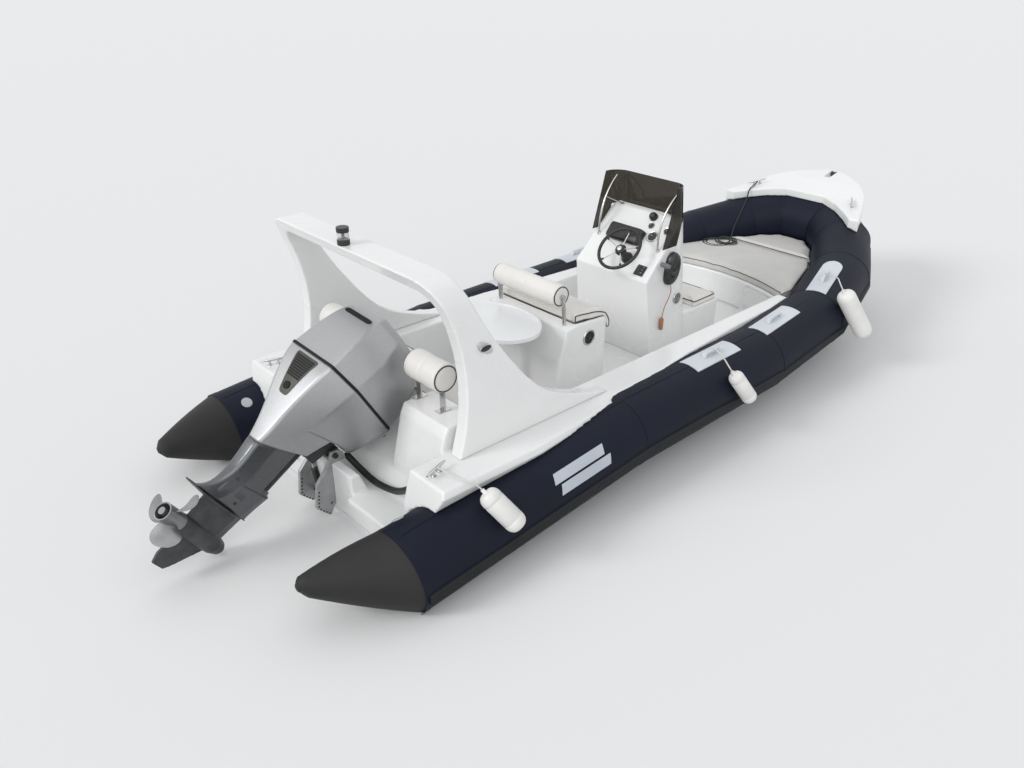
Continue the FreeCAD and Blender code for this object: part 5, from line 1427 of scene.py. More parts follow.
    def throttle(self) -> None:
        """Side control: a tall black housing, and its lever with a grey grip."""
        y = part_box("throttle")[1].y
        body = Piece("throttle_housing", THROTTLE_BLACK, "boat", 40)
        outline = [Vector(p) for p in self.throttle_outline]
        smooth = []
        for i, here in enumerate(outline):
            a, b = outline[i - 1], outline[(i + 1) % len(outline)]
            smooth += [(here * 6 + a + b) / 8, (here + b) / 2]
        mid = Vector(self.throttle_middle)
        rows = []
        for depth, share in self.throttle_levels:
            level = [mid + (p - mid) * share for p in smooth]
            rows.append([Vector((p.x, y - depth, p.y)) for p in level])
        body.grid(rows)
        hub_x, _, hub_z = self.lever_route[0]
        body.lathe([(0.0, 0.036), (0.012, 0.035), (0.018, 0.028), (0.019, 0.002)],
                   (hub_x, y - 0.062, hub_z), (0, -1, 0), 32)
        body.tube([(x, y - out, z) for x, out, z in self.lever_route], self.lever_radius, 14)
        grip = Piece("throttle_grip", GRIP_GREY, "boat", 40)
        x, out, z = self.grip_at
        grip.lathe([(-0.044, 0.013), (-0.040, 0.0175), (0.030, 0.0190), (0.040, 0.0170), (0.044, 0.010)],
                   (x, y - out, z), (0, 1, 0), 28)
        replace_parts(body.build(), "throttle")
        grip.build()

    def horn(self) -> None:
        """Round horn below the throttle: a bright slatted ring round a dark face."""
        x, z = self.horn_at
        r, out = self.horn_radius, (0, -1, 0.02)
        side = BVHTree.FromPolygons(*welded("console"))
        face_y = side.ray_cast(Vector((x, -2, z)), Vector((0, 1, 0)))[0].y
        spot = Vector((x, face_y - 0.0008, z))
        ring = Piece("horn_ring", STEEL, "boat", 40)
        ring.lathe([(0.0, r), (0.004, r), (0.009, r * 0.92), (0.008, r * 0.80), (0.003, r * 0.77)],
                   spot, out, 44, ends=False)
        for k in range(-3, 4):
            half = math.sqrt(0.60 - (0.19 * k) ** 2) * r
            ring.block(spot + Vector((0, -0.0056, 0.19 * k * r)), (2 * half, 0.0035, 0.0028),
                       ((1, 0, 0), (0, 0, 1)), 0.001)
        ring.build()
        face = Piece("horn_face", DASH, "boat", 40)
        face.lathe([(0.0, r * 0.79), (0.003, r * 0.76), (0.0015, 0.001)], spot, out, 36)
        face.build()

    def build(self) -> None:
        """Builds everything at the helm."""
        mould("console", WHITE_DECK, 0.008, 7, 0.35)
        dress("windscreen", SMOKED, 0.0, 40)
        dress("windscreen_rails", STEEL, 0.0, 50)
        self.wheel()
        self.instruments()
        self.pod()
        self.throttle()
        self.horn()


# Seats and table


@dataclass
class Seating:
    """Seats, rolls, table and speakers."""

    helm_roll: Point = (-0.850, 0.322, 1.075)
    helm_roll_radius: float = 0.080
    stern_roll_from: Point = (-2.135, 0.335, 1.000)
    stern_roll_to: Point = (-2.135, 0.640, 1.000)
    stern_roll_radius: float = 0.095
    middle_seam: Sequence[float] = (0.5,)
    speaker_at: Point = (-0.655, 0.420, 0.735)
    speaker_radius: float = 0.062

    def pads(self) -> None:
        """Every padded seat and the foredeck pads."""
        def top_of(node: str) -> Callable[[Vector], bool]:
            """Returns a test for points on a node's top."""
            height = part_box(node)[1].z
            return lambda p: p.z > height - 0.001

        def sides_of(node: str) -> Callable[[Vector], bool]:
            """Returns a test for points on a node's two sides."""
            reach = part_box(node)[1].y
            return lambda p: abs(p.y) > reach - 0.001

        for node in ("foredeck_cushion_aft", "foredeck_cushion_forward"):
            Cushion(node, "boat", DECK_VINYL, 0.014, 0.012, 0.004, top_of(node), 0.6, 0.0035, 2.0).build()
        Cushion("bench_cushion", "boat", SEAT_VINYL, 0.012, 0.022, 0.008, top_of("bench_cushion")).build()
        for node, lid, seam in (("console_seat_cushion", "console_lid", top_of),
                                ("helm_seat_cushion", "helm_lid", sides_of)):
            Cushion(node, lid, SEAT_VINYL, 0.008, 0.016, 0.006, seam(node)).build()

    def rolls(self) -> None:
        """The helm's back roll and the two stern rolls."""
        end = Vector(self.helm_roll)
        Roll("helm_roll", "helm_bolster", (mirrored(end, -1), end), self.helm_roll_radius,
             self.middle_seam).build()
        for name, sign in (("stern_roll_port", 1), ("stern_roll_starboard", -1)):
            ends = tuple(mirrored(Vector(p), sign) for p in (self.stern_roll_from, self.stern_roll_to))
            Roll(name, "stern_bolster", ends, self.stern_roll_radius, self.middle_seam).build()

    def speakers(self) -> None:
        """Bright rings round a dark cone on each side of the seat."""
        rings = Piece("speaker_rings", STEEL, "boat")
        cones = Piece("speaker_cones", DASH, "boat")
        x, y, z = self.speaker_at
        r = self.speaker_radius
        for sign in (1, -1):
            seat, out = Vector((x, sign * (y + 0.0003), z)), Vector((0, sign, 0))
            rings.lathe([(0.0, r), (0.004, r), (0.008, r * 0.93), (0.0075, r * 0.80), (0.003, r * 0.77)],
                        seat, out, 48, ends=False)
            cones.lathe([(0.0, r * 0.79), (0.0045, r * 0.76), (0.0015, r * 0.34), (0.005, r * 0.26),
                         (0.0062, 0.002)], seat, out, 40)
            for k in range(3):
                t = math.pi * k / 3
                ray = Vector((math.cos(t), 0, math.sin(t)))
                rim = seat + out * 0.0058
                cones.tube([rim - ray * r * 0.78, seat + out * 0.0066, rim + ray * r * 0.78], 0.0016, 6)
        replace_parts(cones.build(), "speakers")
        rings.build()

    def build(self) -> None:
        """Builds the seats and the table."""
        self.pads()
        self.rolls()
        self.speakers()
        mould("helm_seat_box", WHITE_DECK, 0.008, 9, 0.35)
        dress("helm_bolster_posts", STEEL, 0.0, 40)
        dress("stern_bolster_brackets", STEEL, 0.001)
        dress("helm_seat_hinges", STEEL)
        dress("console_seat_hinges", STEEL)
        dress("table", TABLE_WHITE, 0.005, 40)
        dress("table_pedestal", POLE, 0.002)


# Arch


@dataclass
class Arch:
    """Stern arch with its vents and the all-round light."""

    skin: tuple[float, int, float] = (0.006, 16, 0.22)
    vent_half: tuple[float, float] = (0.062, 0.030)

    def oval(self, middle: Vector, long: float, high: float, count: int) -> list[Vector]:
        """Returns points round an upright oval, whose sizes are shares of the vent's."""
        a, b = self.vent_half[0] * long, self.vent_half[1] * high
        return [middle + Vector((a * math.cos(t), 0, b * math.sin(t))) for t in turns(count)]

    def vents(self) -> None:
        """Dark ovals of painted shade in the mouths of the arch's two vents, each with a bright lip."""
        low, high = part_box("arch_vents")
        middle = (low + high) / 2
        # Painted shade: dark ovals stand for the shade inside the vents' openings.
        mouths = Piece("vent_mouth_shade", DASH, "boat", 50)
        lips = Piece("vent_lips", STEEL, "boat", 60)
        for sign in (1, -1):
            spot = Vector((middle.x, sign * (high.y + 0.0006), middle.z))
            mouths.grid([self.oval(spot + Vector((0, sign * depth, 0)), share, share, 40)
                         for depth, share in ((-0.004, 0.62), (0.0006, 0.62), (0.0012, 0.5))])
            lips.tube(self.oval(spot, 0.66, 0.68, 48), 0.0028, 8, closed=True)
        mouths.build()
        lips.build()

    def build(self) -> None:
        """Dresses the arch."""
        mould("arch", WHITE_DECK, *self.skin)
        dress("arch_vents", STEEL, 0.004)
        self.vents()
        dress("allround_light", LAMP_BODY, 0.003)
        dress("light_lens", LAMP_LENS)


# Motor


@dataclass
class Motor:
    """Outboard motor, tilted up and steered over as it stands at rest.

    Attributes:
        pivot: the tilt tube's middle.
        tilt: tilt at rest, in degrees.
        steer: steering at rest, in degrees.
        steer_back: how far behind the tilt tube the steering axis is.
        upper: rows of the upper cover, in its upright frame: height, front, shoulder, rear, and
            half widths at the front, middle and rear.
        lower: rows of the lower cover.
        leg: rows of the leg.
        leg_foot: height of the leg's lower edge.
        leg_front_x: in front of it the leg is left open,
        yoke_top: and only above this height.
        hollow_front_x: in front of it the lower cover is cut away,
        hollow_radius: and within this distance of the steering axis,
        hollow_top: up to this height.
        joint: a point of the sloping joint between lower cover and leg, and its slope.
        seal: lower and upper edge of the rubber seal.
        clamp_half: half the width over the clamp brackets.
        clamp_wall: how thick a clamp bracket is.
        clamp_holes: places of the holes in a clamp bracket, from the tilt tube.
        panel: rows of the rear panel: height and half width.
        rear_band: rows of the dark band on the upper cover's rear: height and half width.
        leg_screws: places of the screws on each side of the leg.
        cover_screws: places of the screws on each side of the lower cover.
        corner_radii: corner radii of a cover's outline.
    """

    pivot: Point = (-2.632, 0.0, 0.430)
    tilt: float = 58.0
    steer: float = 8.3
    steer_back: float = 0.170
    upper: Rows = (
        (0.345, 0.150, 0.020, -0.630, 0.190, 0.290, 0.190),
        (0.560, 0.130, 0.000, -0.600, 0.180, 0.275, 0.170),
        (0.730, 0.070, -0.040, -0.555, 0.150, 0.215, 0.140),
        (0.790, 0.010, -0.080, -0.500, 0.110, 0.150, 0.105),
    )
    lower: Rows = (
        (-0.262, -0.070, -0.130, -0.506, 0.050, 0.068, 0.050),
        (-0.150, -0.022, -0.088, -0.526, 0.076, 0.112, 0.074),
        (-0.040, 0.020, -0.050, -0.558, 0.101, 0.155, 0.098),
        (0.120, 0.095, -0.010, -0.604, 0.151, 0.231, 0.144),
        (0.250, 0.129, 0.011, -0.629, 0.178, 0.273, 0.177),
        (0.333, 0.150, 0.020, -0.633, 0.190, 0.291, 0.191),
    )
    leg: Rows = (
        (-0.646, -0.118, -0.190, -0.588, 0.0345, 0.047, 0.010),
        (-0.612, -0.116, -0.186, -0.536, 0.035, 0.049, 0.014),
        (-0.560, -0.112, -0.180, -0.500, 0.038, 0.053, 0.022),
        (-0.455, -0.102, -0.165, -0.480, 0.047, 0.063, 0.038),
        (-0.360, -0.090, -0.150, -0.488, 0.048, 0.065, 0.046),
        (-0.262, -0.079, -0.139, -0.5055, 0.049, 0.0675, 0.0495),
        (-0.100, -0.079, -0.139, -0.5055, 0.049, 0.0675, 0.0495),
    )
    leg_foot: float = -0.646
    leg_front_x: float = -0.206
    yoke_top: float = -0.452
    hollow_front_x: float = -0.184
    hollow_radius: float = 0.114
    hollow_top: float = 0.063
    joint: tuple[float, float, float] = (-0.100, -0.090, 0.4025)
    seal: tuple[float, float] = (0.331, 0.349)
    clamp_half: float = 0.118
    clamp_wall: float = 0.026
    clamp_holes: Pairs = (
        (-0.087, -0.402), (-0.106, -0.384), (-0.125, -0.366), (-0.143, -0.345), (-0.153, -0.320),
        (-0.151, -0.294), (-0.148, -0.268), (-0.145, -0.242), (-0.142, -0.216),
    )
    panel: Pairs = (
        (0.050, 0.022), (0.060, 0.038), (0.085, 0.047), (0.15, 0.062), (0.22, 0.079), (0.285, 0.096),
        (0.303, 0.098), (0.312, 0.088),
    )
    rear_band: Pairs = (
        (0.684, 0.100), (0.690, 0.119), (0.702, 0.124), (0.713, 0.117), (0.719, 0.098),
    )
    leg_screws: Pairs = ((-0.30, -0.60), (-0.20, -0.52), (-0.42, -0.48))
    cover_screws: Pairs = ((-0.40, -0.150), (-0.33, -0.170))
    corner_radii: Sequence[float] = (0.050, 0.070, 0.060, 0.030, 0.030, 0.060, 0.070, 0.050)

    def __post_init__(self) -> None:
        """Works out the motor's place at rest."""
        back = Vector((-self.steer_back, 0, 0))
        steered = Matrix.Rotation(math.radians(self.steer), 4, "Z")
        tilted = Matrix.Rotation(math.radians(self.tilt), 4, "Y")
        turn = Matrix.Translation(back) @ steered @ Matrix.Translation(-back)
        self.place = Matrix.Translation(Vector(self.pivot)) @ tilted @ turn

    def at(self, x: float, y: float, z: float) -> Vector:
        """Returns a point of the upright motor, where it stands at rest."""
        return self.place @ Vector((x, y, z))

    def facing(self, x: float, y: float, z: float) -> Vector:
        """Returns a direction of the upright motor, as it stands at rest."""
        return self.place.to_3x3() @ Vector((x, y, z))

    def outline(self, row: Sequence[float], grow: float = 0.0) -> list[tuple[float, float]]:
        """Draws a cover's outline at one level, its corners rounded.

        Args:
            row: front, shoulder, rear, and the three half widths.
            grow: how far it stands outside.

        Returns:
            The outline's points.
        """
        front, shoulder, rear, front_half, middle_half, rear_half = row
        inset = min(0.190, 0.3 * (front - rear))
        port = [(front, front_half), (shoulder, middle_half), (rear + inset, middle_half), (rear, rear_half)]
        corners = [(x, -y) for x, y in port] + port[::-1]
        middle = Vector(((front + rear) / 2, 0.0))
        spots = []
        for i, corner in enumerate(corners):
            here = Vector(corner)
            before, after = Vector(corners[i - 1]), Vector(corners[(i + 1) % len(corners)])
            d0, d1 = (before - here).normalized(), (after - here).normalized()
            half = d0.angle(d1) / 2
            reach = min(self.corner_radii[i] / math.tan(half),
                        0.42 * min((before - here).length, (after - here).length))
            a, b = here + d0 * reach, here + d1 * reach
            for k in range(7):
                t = k / 6
                spots.append(a * (1 - t) ** 2 + here * 2 * t * (1 - t) + b * t * t)
        if grow:
            spots = [p + (p - middle).normalized() * grow for p in spots]
        return [(p.x, p.y) for p in spots]

    def row_at(self, height: float, rows: Rows | None = None) -> list[float]:
        """Works out a cover's sizes at a height, on a smooth curve through its rows.

        Args:
            height: height in the upright motor's frame.
            rows: the cover's rows; the upper cover's if none are given.

        Returns:
            Front, shoulder, rear and the three half widths.
        """
        rows = rows or self.upper
        last = len(rows) - 2
        i = next((n for n in range(last) if height <= rows[n + 1][0]), last)
        before, a, b, after = rows[max(i - 1, 0)], rows[i], rows[i + 1], rows[min(i + 2, last + 1)]
        gap = b[0] - a[0]
        t = min(1.0, max(0.0, (height - a[0]) / gap))
        shares = (2 * t ** 3 - 3 * t ** 2 + 1, t ** 3 - 2 * t ** 2 + t,
                  -2 * t ** 3 + 3 * t ** 2, t ** 3 - t ** 2)
        out = []
        for k in range(1, 7):
            start = (b[k] - before[k]) / (b[0] - before[0]) * gap
            end = (after[k] - a[k]) / (after[0] - a[0]) * gap
            out.append(shares[0] * a[k] + shares[1] * start + shares[2] * b[k] + shares[3] * end)
        return out

    def joint_at(self, x: float) -> float:
        """Returns the height of the sloping joint between the lower cover and the leg."""
        x0, z0, slope = self.joint
        return z0 + (x - x0) * slope

    def shell(self, name: str, finish: Finish, rows: Rows, foot: Callable[[float], float],
              head: Callable[[float], float], opened: Callable[[float, float, float], bool]) -> None:
        """Builds a thin smooth skin round a cover.

        Args:
            name: the piece's name.
            finish: what it is made of.
            rows: the cover's rows.
            foot: gives its lower edge's height from x.
            head: gives its upper edge's height from x.
            opened: tells of a point of the upright motor whether the skin is left open there.
        """
        skin = Piece(name, finish, "motor", 32)
        count = len(self.outline(rows[0][1:]))
        spots = []
        for k in range(33):
            row = []
            for j in range(count):
                z = rows[0][0] + (rows[-1][0] - rows[0][0]) * k / 32
                for _ in range(4):
                    x, y = self.outline(self.row_at(z, rows), 0.0008)[j]
                    z = foot(x) + (head(x) - foot(x)) * k / 32
                row.append((x, y, z))
            spots.append(row)
        skin.grid([[self.at(*p) for p in row] for row in spots], ends=False)
        flat = [p for row in spots for p in row]
        skin.faces = [f for f in skin.faces if not any(opened(*flat[i]) for i in f)]
        wall = skin.build().modifiers.new("wall", "SOLIDIFY")
        wall.thickness = 0.003
        wall.offset = -1.0

    def in_hollow(self, x: float, y: float, z: float) -> bool:
        """Tells whether a point is where the lower cover is cut away round the swivel bracket."""
        near = math.hypot(x + self.steer_back, y) < self.hollow_radius
        return z < self.hollow_top and (near or x > self.hollow_front_x)

    def lower_cover(self) -> None:
        """Smooth skin round the lower cover, open where the bracket turns inside it."""
        self.shell("cowl_lower_skin", COWL_SILVER, self.lower, lambda x: self.joint_at(x) + 0.002,
                   lambda x: self.lower[-1][0], self.in_hollow)

    def leg_skin(self) -> None:
        """Smooth leg, its rear swept out over the plate, open in front where the bracket's tube stands."""
        self.shell("leg_skin", LEG_SILVER_WITH_PAINTED_REFLECTION, self.leg, lambda x: self.leg_foot,
                   lambda x: self.joint_at(x) - 0.0015,
                   lambda x, y, z: x > self.leg_front_x and z > self.yoke_top)
        trim = Piece("leg_screws", MOTOR_DARK, "motor", 30)
        for sign in (1, -1):
            for x, z in self.leg_screws:
                trim.lathe([(0.0, 0.010), (0.004, 0.010), (0.006, 0.007), (0.006, 0.001)],
                           self.at(x, sign * 0.054, z), self.facing(0, sign, 0), 18)
            for k in range(4):
                trim.block(self.at(-0.345 + 0.02 * k, sign * 0.057, -0.545), (0.006, 0.046, 0.006),
                           (self.facing(1, 0, 0), self.facing(0, 0, 1)), 0.002)
        trim.build()

    def upper_cover(self) -> None:
        """Smooth silver cover with a softly domed top."""
        cover = Piece("cowl_upper_skin", COWL_SILVER, "motor", 32)
        bottom, top = self.upper[0][0], self.upper[-1][0]
        rows = [[self.at(x, y, bottom) for x, y in self.outline(self.row_at(bottom), -0.004)]]
        for k in range(23):
            z = bottom + 0.003 + (top - bottom - 0.003) * k / 22
            rows.append([self.at(x, y, z) for x, y in self.outline(self.row_at(z))])
        last = self.outline(self.row_at(top))
        middle = sum(x for x, y in last) / len(last)
        for shrink, rise in ((0.93, 0.009), (0.8, 0.015), (0.6, 0.019), (0.35, 0.021), (0.08, 0.022)):
            rows.append([self.at(middle + (x - middle) * shrink, y * shrink, top + rise) for x, y in last])
        cover.grid(rows)
        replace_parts(cover.build(), "cowl_upper")

    def belt(self) -> None:
        """Black rubber seal between the two covers."""
        belt = Piece("cowl_seal", SEAL, "motor", 40)
        low, high = self.seal
        levels = ((low, -0.010), (low, 0.0022), (low + 0.003, 0.0034), (high - 0.003, 0.0034), (high, 0.0022),
                  (high, -0.010))
        rows = [[self.at(x, y, z) for x, y in self.outline(self.lower[-1][1:], grow)] for z, grow in levels]
        belt.grid(rows, close=True)
        belt.build()

    def rear_x(self, z: float) -> float:
        """Returns where the lower cover's rear face is at a height."""
        return self.row_at(z, self.lower)[2] - 0.0008

    def rear_panel(self) -> None:
        """Slatted panel on the lower cover's rear, narrower at its foot."""
        panel = Piece("cowl_rear_panel", PANEL_OLIVE, "motor", 30)
        slats = Piece("cowl_rear_slats", SEAL, "motor", 30)
        rows = []
        for z, half in self.panel:
            x = self.rear_x(z)
            rows.append([self.at(x - d, y * half, z) for y, d in
                         ((-1, -0.004), (-1, 0.002), (-0.93, 0.004), (0.93, 0.004), (1, 0.002), (1, -0.004))])
        panel.grid(rows)
        panel.build()
        for k in range(9):
            z = 0.165 + 0.0155 * k
            half = 0.065 + 0.24 * (z - 0.165)
            x = self.rear_x(z)
            slats.block(self.at(x - 0.0055, 0, z), (2 * half * 0.86, 0.0115, 0.005),
                        (self.facing(0, 1, 0), self.facing(-0.35, 0, 1)), 0.0015)
        z = 0.105
        slats.lathe([(0.0, 0.024), (0.008, 0.024), (0.010, 0.020), (0.007, 0.016), (0.0075, 0.008),
                     (0.011, 0.007), (0.011, 0.001)], self.at(self.rear_x(z) - 0.003, 0, z),
                    self.facing(-1, 0, -0.25), 28)
        band = []
        for z, half in self.rear_band:
            x = self.row_at(z)[2]
            band.append([self.at(x - d, y * half, z) for y, d in
                         ((-1, -0.003), (-1, 0.0012), (1, 0.0012), (1, -0.003))])
        slats.grid(band)
        slats.build()

    def fittings(self) -> None:
        """Latch, small handle and screws round the covers' joint, and dark discs of painted shade in the
        clamp brackets' holes.
        """
        small = Piece("cowl_latches", MOTOR_DARK, "motor", 30)
        bright = Piece("cowl_screws", STEEL, "motor", 30)
        for sign in (1, -1):
            small.block(self.at(0.085, sign * 0.2485, 0.296), (0.062, 0.012, 0.006),
                        (self.facing(0.79, -sign * 0.61, 0), self.facing(0, 0, 1)), 0.002)
            bright.block(self.at(0.1485, sign * 0.150, 0.300), (0.046, 0.055, 0.008),
                         (self.facing(0, 1, 0), self.facing(0, 0, 1)), 0.003)
            for x, z in self.cover_screws:
                bright.lathe([(0.0, 0.009), (0.003, 0.009), (0.005, 0.006), (0.005, 0.001)],
                             self.at(x, sign * 0.0885, z), self.facing(0, sign, -0.2), 18)
        small.build()
        bright.build()
        # Painted shade: dark discs on both faces of each clamp bracket stand for the shade inside its holes.
        holes = Piece("clamp_holes", SEAL, "boat", 30)
        inner = self.clamp_half - self.clamp_wall
        for side, face in ((-self.clamp_half, -1), (inner, -1), (-inner, 1), (self.clamp_half, 1)):
            for x, z in self.clamp_holes:
                holes.lathe([(-0.002, 0.0062), (0.0006, 0.0062), (0.0003, 0.003), (0.0003, 0.0005)],
                            Vector(self.pivot) + Vector((x, side, z)), (0, face, 0), 14)
        holes.build()

    def build(self) -> None:
        """Builds the motor's looks."""
        self.upper_cover()
        self.lower_cover()
        self.leg_skin()
        self.belt()
        self.rear_panel()
        self.fittings()
        mould("cowl_lower", COWL_SILVER, 0.005, 6, 0.4)
        mould("driveshaft_housing", LEG_SILVER_WITH_PAINTED_REFLECTION, 0.004, 8, 0.4)
        mould("gearcase", MOTOR_DARK, 0.003, 3, 0.35)
        dress("propeller", PROP_METAL, 0.0, 40)
        mould("clamp_brackets", BRACKET, 0.003, 4, 0.35)
        dress("swivel_bracket", CYLINDER, 0.003, 30)
        dress("tilt_cylinder", CYLINDER, 0.0, 40)
        dress("tilt_rod", STEEL, 0.0, 40)


# Fenders and lines


def rope(name: str, route: Sequence[Point], radius: float, finish: Finish) -> Object:
    """Lays a rope as a smooth curve.

    Args:
        name: the piece's name.
        route: the points that guide it.
        radius: its radius.
        finish: what it is made of.

    Returns:
        The rope, which rides on the boat.
    """
    curve = bpy.data.curves.new(name, "CURVE")
    curve.dimensions = "3D"
    spline = curve.splines.new("NURBS")
    spline.points.add(len(route) - 1)
    for spot, point in zip(spline.points, route):
        spot.co = (*point, 1.0)
    spline.order_u = 3
    spline.use_endpoint_u = True
    spline.resolution_u = 8
    curve.bevel_depth = radius
    curve.bevel_resolution = 3
    curve.use_fill_caps = True
    return finished(placed(name, curve), finish, "boat")


@dataclass
class Fender:
    """A round fender on its lanyard.

    Attributes:
        name: which one it is.
        top: its upper end.
        foot: its lower end.
        radius: its radius.
        lanyard: the lanyard's route, from the handle or cleat.
        length: the lanyard's length; not used.
    """

    name: str
    top: Point
    foot: Point
    radius: float
    lanyard: Sequence[Point]
    length: float

    def build(self) -> None:
        """Builds the fender and its lanyard."""
        top, foot = Vector(self.top), Vector(self.foot)
        long, r = (foot - top).length, self.radius
        dome = 0.75 * r
        cap = [(dome * (1 - math.cos(a)), r * (0.42 + 0.58 * math.sin(a)))
               for a in np.linspace(0.15, math.pi / 2, 9)]
        groove = [(dome + 0.012, r), (dome + 0.014, r * 0.975), (dome + 0.018, r * 0.975), (dome + 0.020, r)]
        profile = [(-0.026, 0.004), (-0.026, 0.012), (-0.006, 0.013), (-0.001, 0.017), (0.0, 0.40 * r)]
        profile += cap + groove + [(long - d, wide) for d, wide in reversed(cap + groove)]
        profile += [(long, 0.36 * r), (long - 0.004, 0.02)]
        body = Piece("fender_" + self.name, FENDER_VINYL, "boat", 40)
        body.lathe(profile, top, foot - top, 56)
        made = body.build()
        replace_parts(made, "fenders")
        line = rope("lanyard_" + self.name + "_rope", self.lanyard, 0.005, ROPE_WHITE)
        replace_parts(line, "lanyard_" + self.name)


@dataclass
class Lines:
    """Fenders, their lanyards, and the bow line with its loose coil."""

    bow_route: Sequence[Point] = (
        (2.8133, 0.506, 1.0798), (2.765, 0.512, 1.043), (2.700, 0.509, 1.032), (2.670, 0.5065, 1.000),
        (2.6521, 0.5007, 0.9284), (2.5963, 0.4811, 0.9041), (2.542, 0.4651, 0.8725), (2.4799, 0.4496, 0.8247),
        (2.433, 0.4425, 0.7795), (2.3932, 0.4388, 0.7301), (2.355, 0.433, 0.676), (2.318, 0.412, 0.636),
        (2.2777, 0.397, 0.6266),
    )
    coil_centre: Point = (2.120, 0.390, 0.6187)
    coil_turns: Sequence[tuple[float, float, float, int]] = (
        # radius, shift along and across, layer
        (0.125, -0.045, 0.035, 0), (0.120, 0.048, -0.036, 1),
        (0.095, -0.040, 0.040, 0), (0.088, 0.050, -0.030, 1),
    )
    coil_start: float = 45.0
    per_turn: int = 14
    hose_route: Sequence[Point] = (
        (-2.545, -0.790, 0.485), (-2.520, -0.660, 0.380), (-2.500, -0.500, 0.310), (-2.500, -0.350, 0.285),
        (-2.500, -0.200, 0.300), (-2.530, -0.070, 0.380),
    )
    hose_radius: float = 0.022
    strap_route: Sequence[Point] = (
        (0.285, -0.405, 0.884), (0.290, -0.412, 0.845), (0.285, -0.408, 0.800), (0.262, -0.404, 0.755),
        (0.232, -0.404, 0.710), (0.212, -0.408, 0.665), (0.204, -0.409, 0.628),
    )
    strap_radius: float = 0.003
    float_foot: Point = (0.200, -0.411, 0.530)

    def fenders(self) -> None:
        """The three fenders along the starboard side."""
        Fender("stern", (-2.325, -1.209, 0.572), (-2.210, -1.376, 0.372), 0.066,
               [(-2.4508, -0.9466, 0.6672), (-2.425, -1.010, 0.646), (-2.398, -1.085, 0.632),
                (-2.374, -1.137, 0.630), (-2.3518, -1.1701, 0.6186), (-2.3357, -1.1935, 0.5905)],
               0.286).build()
        Fender("mid", (-0.100, -1.306, 0.580), (0.025, -1.401, 0.362), 0.056,
               [(-0.040, -1.072, 0.680), (-0.048, -1.110, 0.6795), (-0.072, -1.170, 0.671),
                (-0.102, -1.228, 0.655), (-0.1309, -1.2825, 0.6339), (-0.1123, -1.2967, 0.6014)],
               0.268).build()
        Fender("bow", (1.500, -1.234, 0.740), (1.700, -1.386, 0.352), 0.076,
               [(1.6856, -0.9505, 0.781), (1.665, -1.000, 0.788), (1.618, -1.070, 0.805),
                (1.560, -1.130, 0.822), (1.508, -1.168, 0.824), (1.4756, -1.2155, 0.7873),
                (1.4886, -1.2253, 0.7622)], 0.376).build()

    def bow_line(self) -> None:
        """The bow line from its cleat down to the loose turns on the foredeck."""
        x, y, z = self.coil_centre
        thick = 0.012
        route = list(self.bow_route)
        start = math.radians(self.coil_start)
        for number, (radius, dx, dy, layer) in enumerate(self.coil_turns):
            following = self.coil_turns[min(number + 1, len(self.coil_turns) - 1)]
            for k in range(self.per_turn):
                share = k / self.per_turn
                turn = start + 2 * math.pi * share
                ease = max(0.0, share - 0.6) / 0.4
                r = radius + (following[0] - radius) * ease
                shift = (dx + (following[1] - dx) * ease, dy + (following[2] - dy) * ease)
                level = layer + (following[3] - layer) * ease
                wobble = 1 + 0.03 * math.cos(2 * turn + 0.4)
                route.append((x + shift[0] + r * wobble * math.cos(turn), y + shift[1] + r * math.sin(turn),
                              z + thick * (0.55 + 1.05 * level)))
        line = rope("bow_line_rope", route, thick / 2, ROPE_DARK)
        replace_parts(line, "bow_line", "bow_line_coil")
        bare = line.data.copy()
        bare.bevel_depth = 0.0
        probe = bpy.data.objects.new("probe", bare)
        mesh = bpy.data.meshes.new_from_object(probe)
        bpy.data.objects.remove(probe)

    def hose(self) -> None:
        """The motor's rigging hose across the stern well."""
        hose = rope("rigging_hose", self.hose_route, self.hose_radius, HOSE_BLACK)

    def strap(self) -> None:
        """The red stop cord that hangs from the throttle, with its float."""
        cord = rope("stop_cord", self.strap_route, self.strap_radius, CORD_RED)
        top, foot = Vector(self.strap_route[-1]), Vector(self.float_foot)
        long = (foot - top).length
        end = Piece("stop_cord_float", CORK, "boat", 40)
        end.lathe([(-0.010, 0.002), (-0.009, 0.005), (0.0, 0.006), (0.002, 0.013), (0.008, 0.0165),
                   (long - 0.008, 0.0165), (long - 0.002, 0.013), (long, 0.005)], top, foot - top, 28)
        end.build()

    def build(self) -> None:
        """Builds the fenders and lines."""
        self.fenders()
        self.bow_line()
        self.hose()
        self.strap()


# Studio


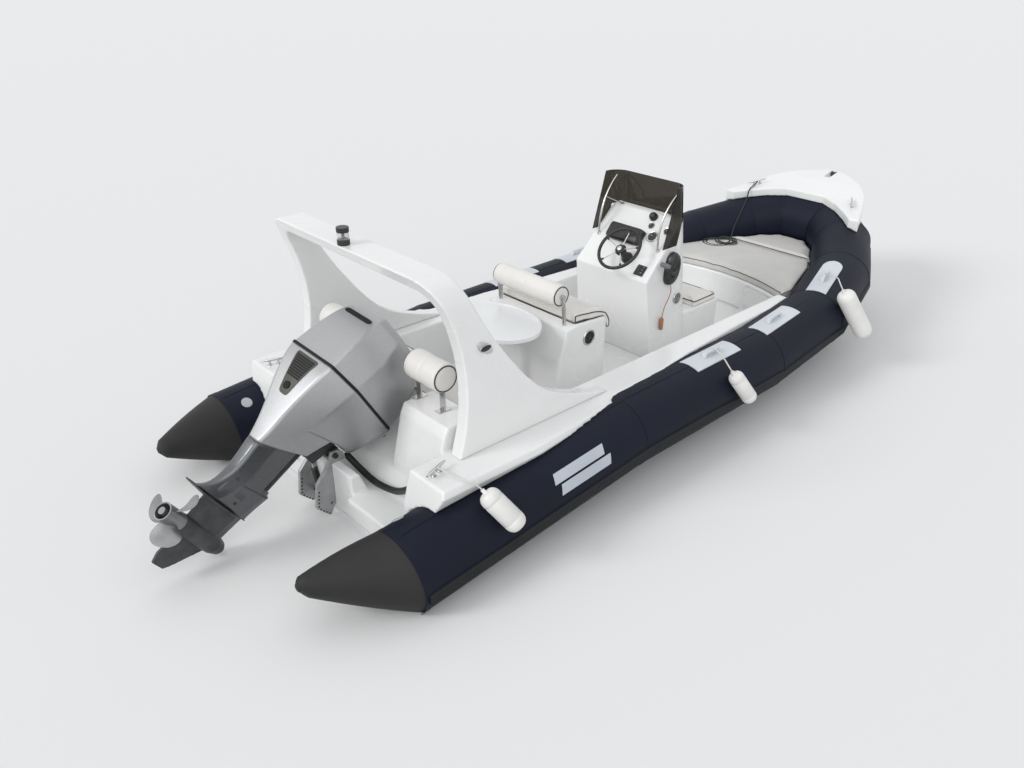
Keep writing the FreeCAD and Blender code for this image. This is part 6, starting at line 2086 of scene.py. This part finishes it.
@dataclass
class Studio:
    """Camera, lamps, floor at the waterline, and a pale world."""

    eye: Point = (-4.85, -4.21, 3.35)
    view: Point = (0.5933, 0.6531, -0.4705)
    lens: float = 30.03
    aim: Point = (0, 0, 0.4)
    floor_half: float = 90.0
    lamps: Sequence[tuple[str, Point, float, float]] = (
        # name, place, softness in radians and strength
        ("key", (-8.5, 3.0, 6.0), 0.35, 1.15), ("fill", (-6.0, -8.0, 7.0), 0.9, 0.80),
        ("top", (2.0, 0.5, 9.0), 1.2, 0.30),
    )

    def camera(self) -> None:
        """Places the camera at the photograph's point of view."""
        data = bpy.data.cameras.new("camera")
        data.lens = self.lens
        data.sensor_width = 36.0
        data.clip_end = 400.0
        camera = placed("camera", data)
        camera.location = self.eye
        camera.rotation_mode = "QUATERNION"
        camera.rotation_quaternion = Vector(self.view).to_track_quat("-Z", "Y")
        bpy.context.scene.camera = camera

    def light(self) -> None:
        """Hangs the soft lamps."""
        for name, place, softness, strength in self.lamps:
            data = bpy.data.lights.new(name, "SUN")
            data.angle = softness
            data.energy = strength
            lamp = placed(name, data)
            lamp.location = place
            lamp.rotation_mode = "QUATERNION"
            lamp.rotation_quaternion = (Vector(self.aim) - Vector(place)).to_track_quat("-Z", "Y")

    def floor(self) -> None:
        """Lays the pale floor at the waterline."""
        half = self.floor_half
        made = mesh_object("floor", [(-half, -half, 0), (half, -half, 0), (half, half, 0), (-half, half, 0)],
                           [(0, 1, 2, 3)])
        pale = bpy.data.materials.new("floor_pale")
        pale.use_nodes = True
        nodes = pale.node_tree.nodes
        nodes["Principled BSDF"].inputs["Base Color"].default_value = (0.80, 0.80, 0.79, 1)
        nodes["Principled BSDF"].inputs["Roughness"].default_value = 0.9
        made.data.materials.append(pale)

    def world(self) -> None:
        """Makes the world white to the eye and in reflections, and softer as a light."""
        world = bpy.data.worlds.new("pale")
        bpy.context.scene.world = world
        world.use_nodes = True
        nodes, links = world.node_tree.nodes, world.node_tree.links
        lit = nodes["Background"]
        lit.inputs["Color"].default_value = (0.93, 0.96, 1.0, 1)
        lit.inputs["Strength"].default_value = 0.60
        seen = nodes.new("ShaderNodeBackground")
        seen.inputs["Color"].default_value = (1, 1, 1, 1)
        ray = nodes.new("ShaderNodeLightPath")
        looks_on = ray.outputs["Is Camera Ray"]
        for kind in ("Is Glossy Ray", "Is Transmission Ray"):
            either = nodes.new("ShaderNodeMath")
            either.operation = "MAXIMUM"
            links.new(looks_on, either.inputs[0])
            links.new(ray.outputs[kind], either.inputs[1])
            looks_on = either.outputs[0]
        mix = nodes.new("ShaderNodeMixShader")
        links.new(looks_on, mix.inputs["Fac"])
        links.new(lit.outputs[0], mix.inputs[1])
        links.new(seen.outputs[0], mix.inputs[2])
        links.new(mix.outputs[0], nodes["World Output"].inputs["Surface"])

    def build(self) -> None:
        """Sets up the studio."""
        bpy.context.scene.view_settings.view_transform = "Standard"
        self.camera()
        self.light()
        self.floor()
        self.world()


def main() -> None:
    """Builds the studio and every sub-assembly in order."""
    logging.basicConfig(level=logging.INFO, format="%(message)s")
    parts = (Studio(), Lines(), Tubes(), HullAndDeck(), Helm(), Seating(), Arch(), Motor())
    for part in parts:
        LOG.info("building %s", type(part).__name__)
        part.build()


if __name__ == "__main__":
    main()
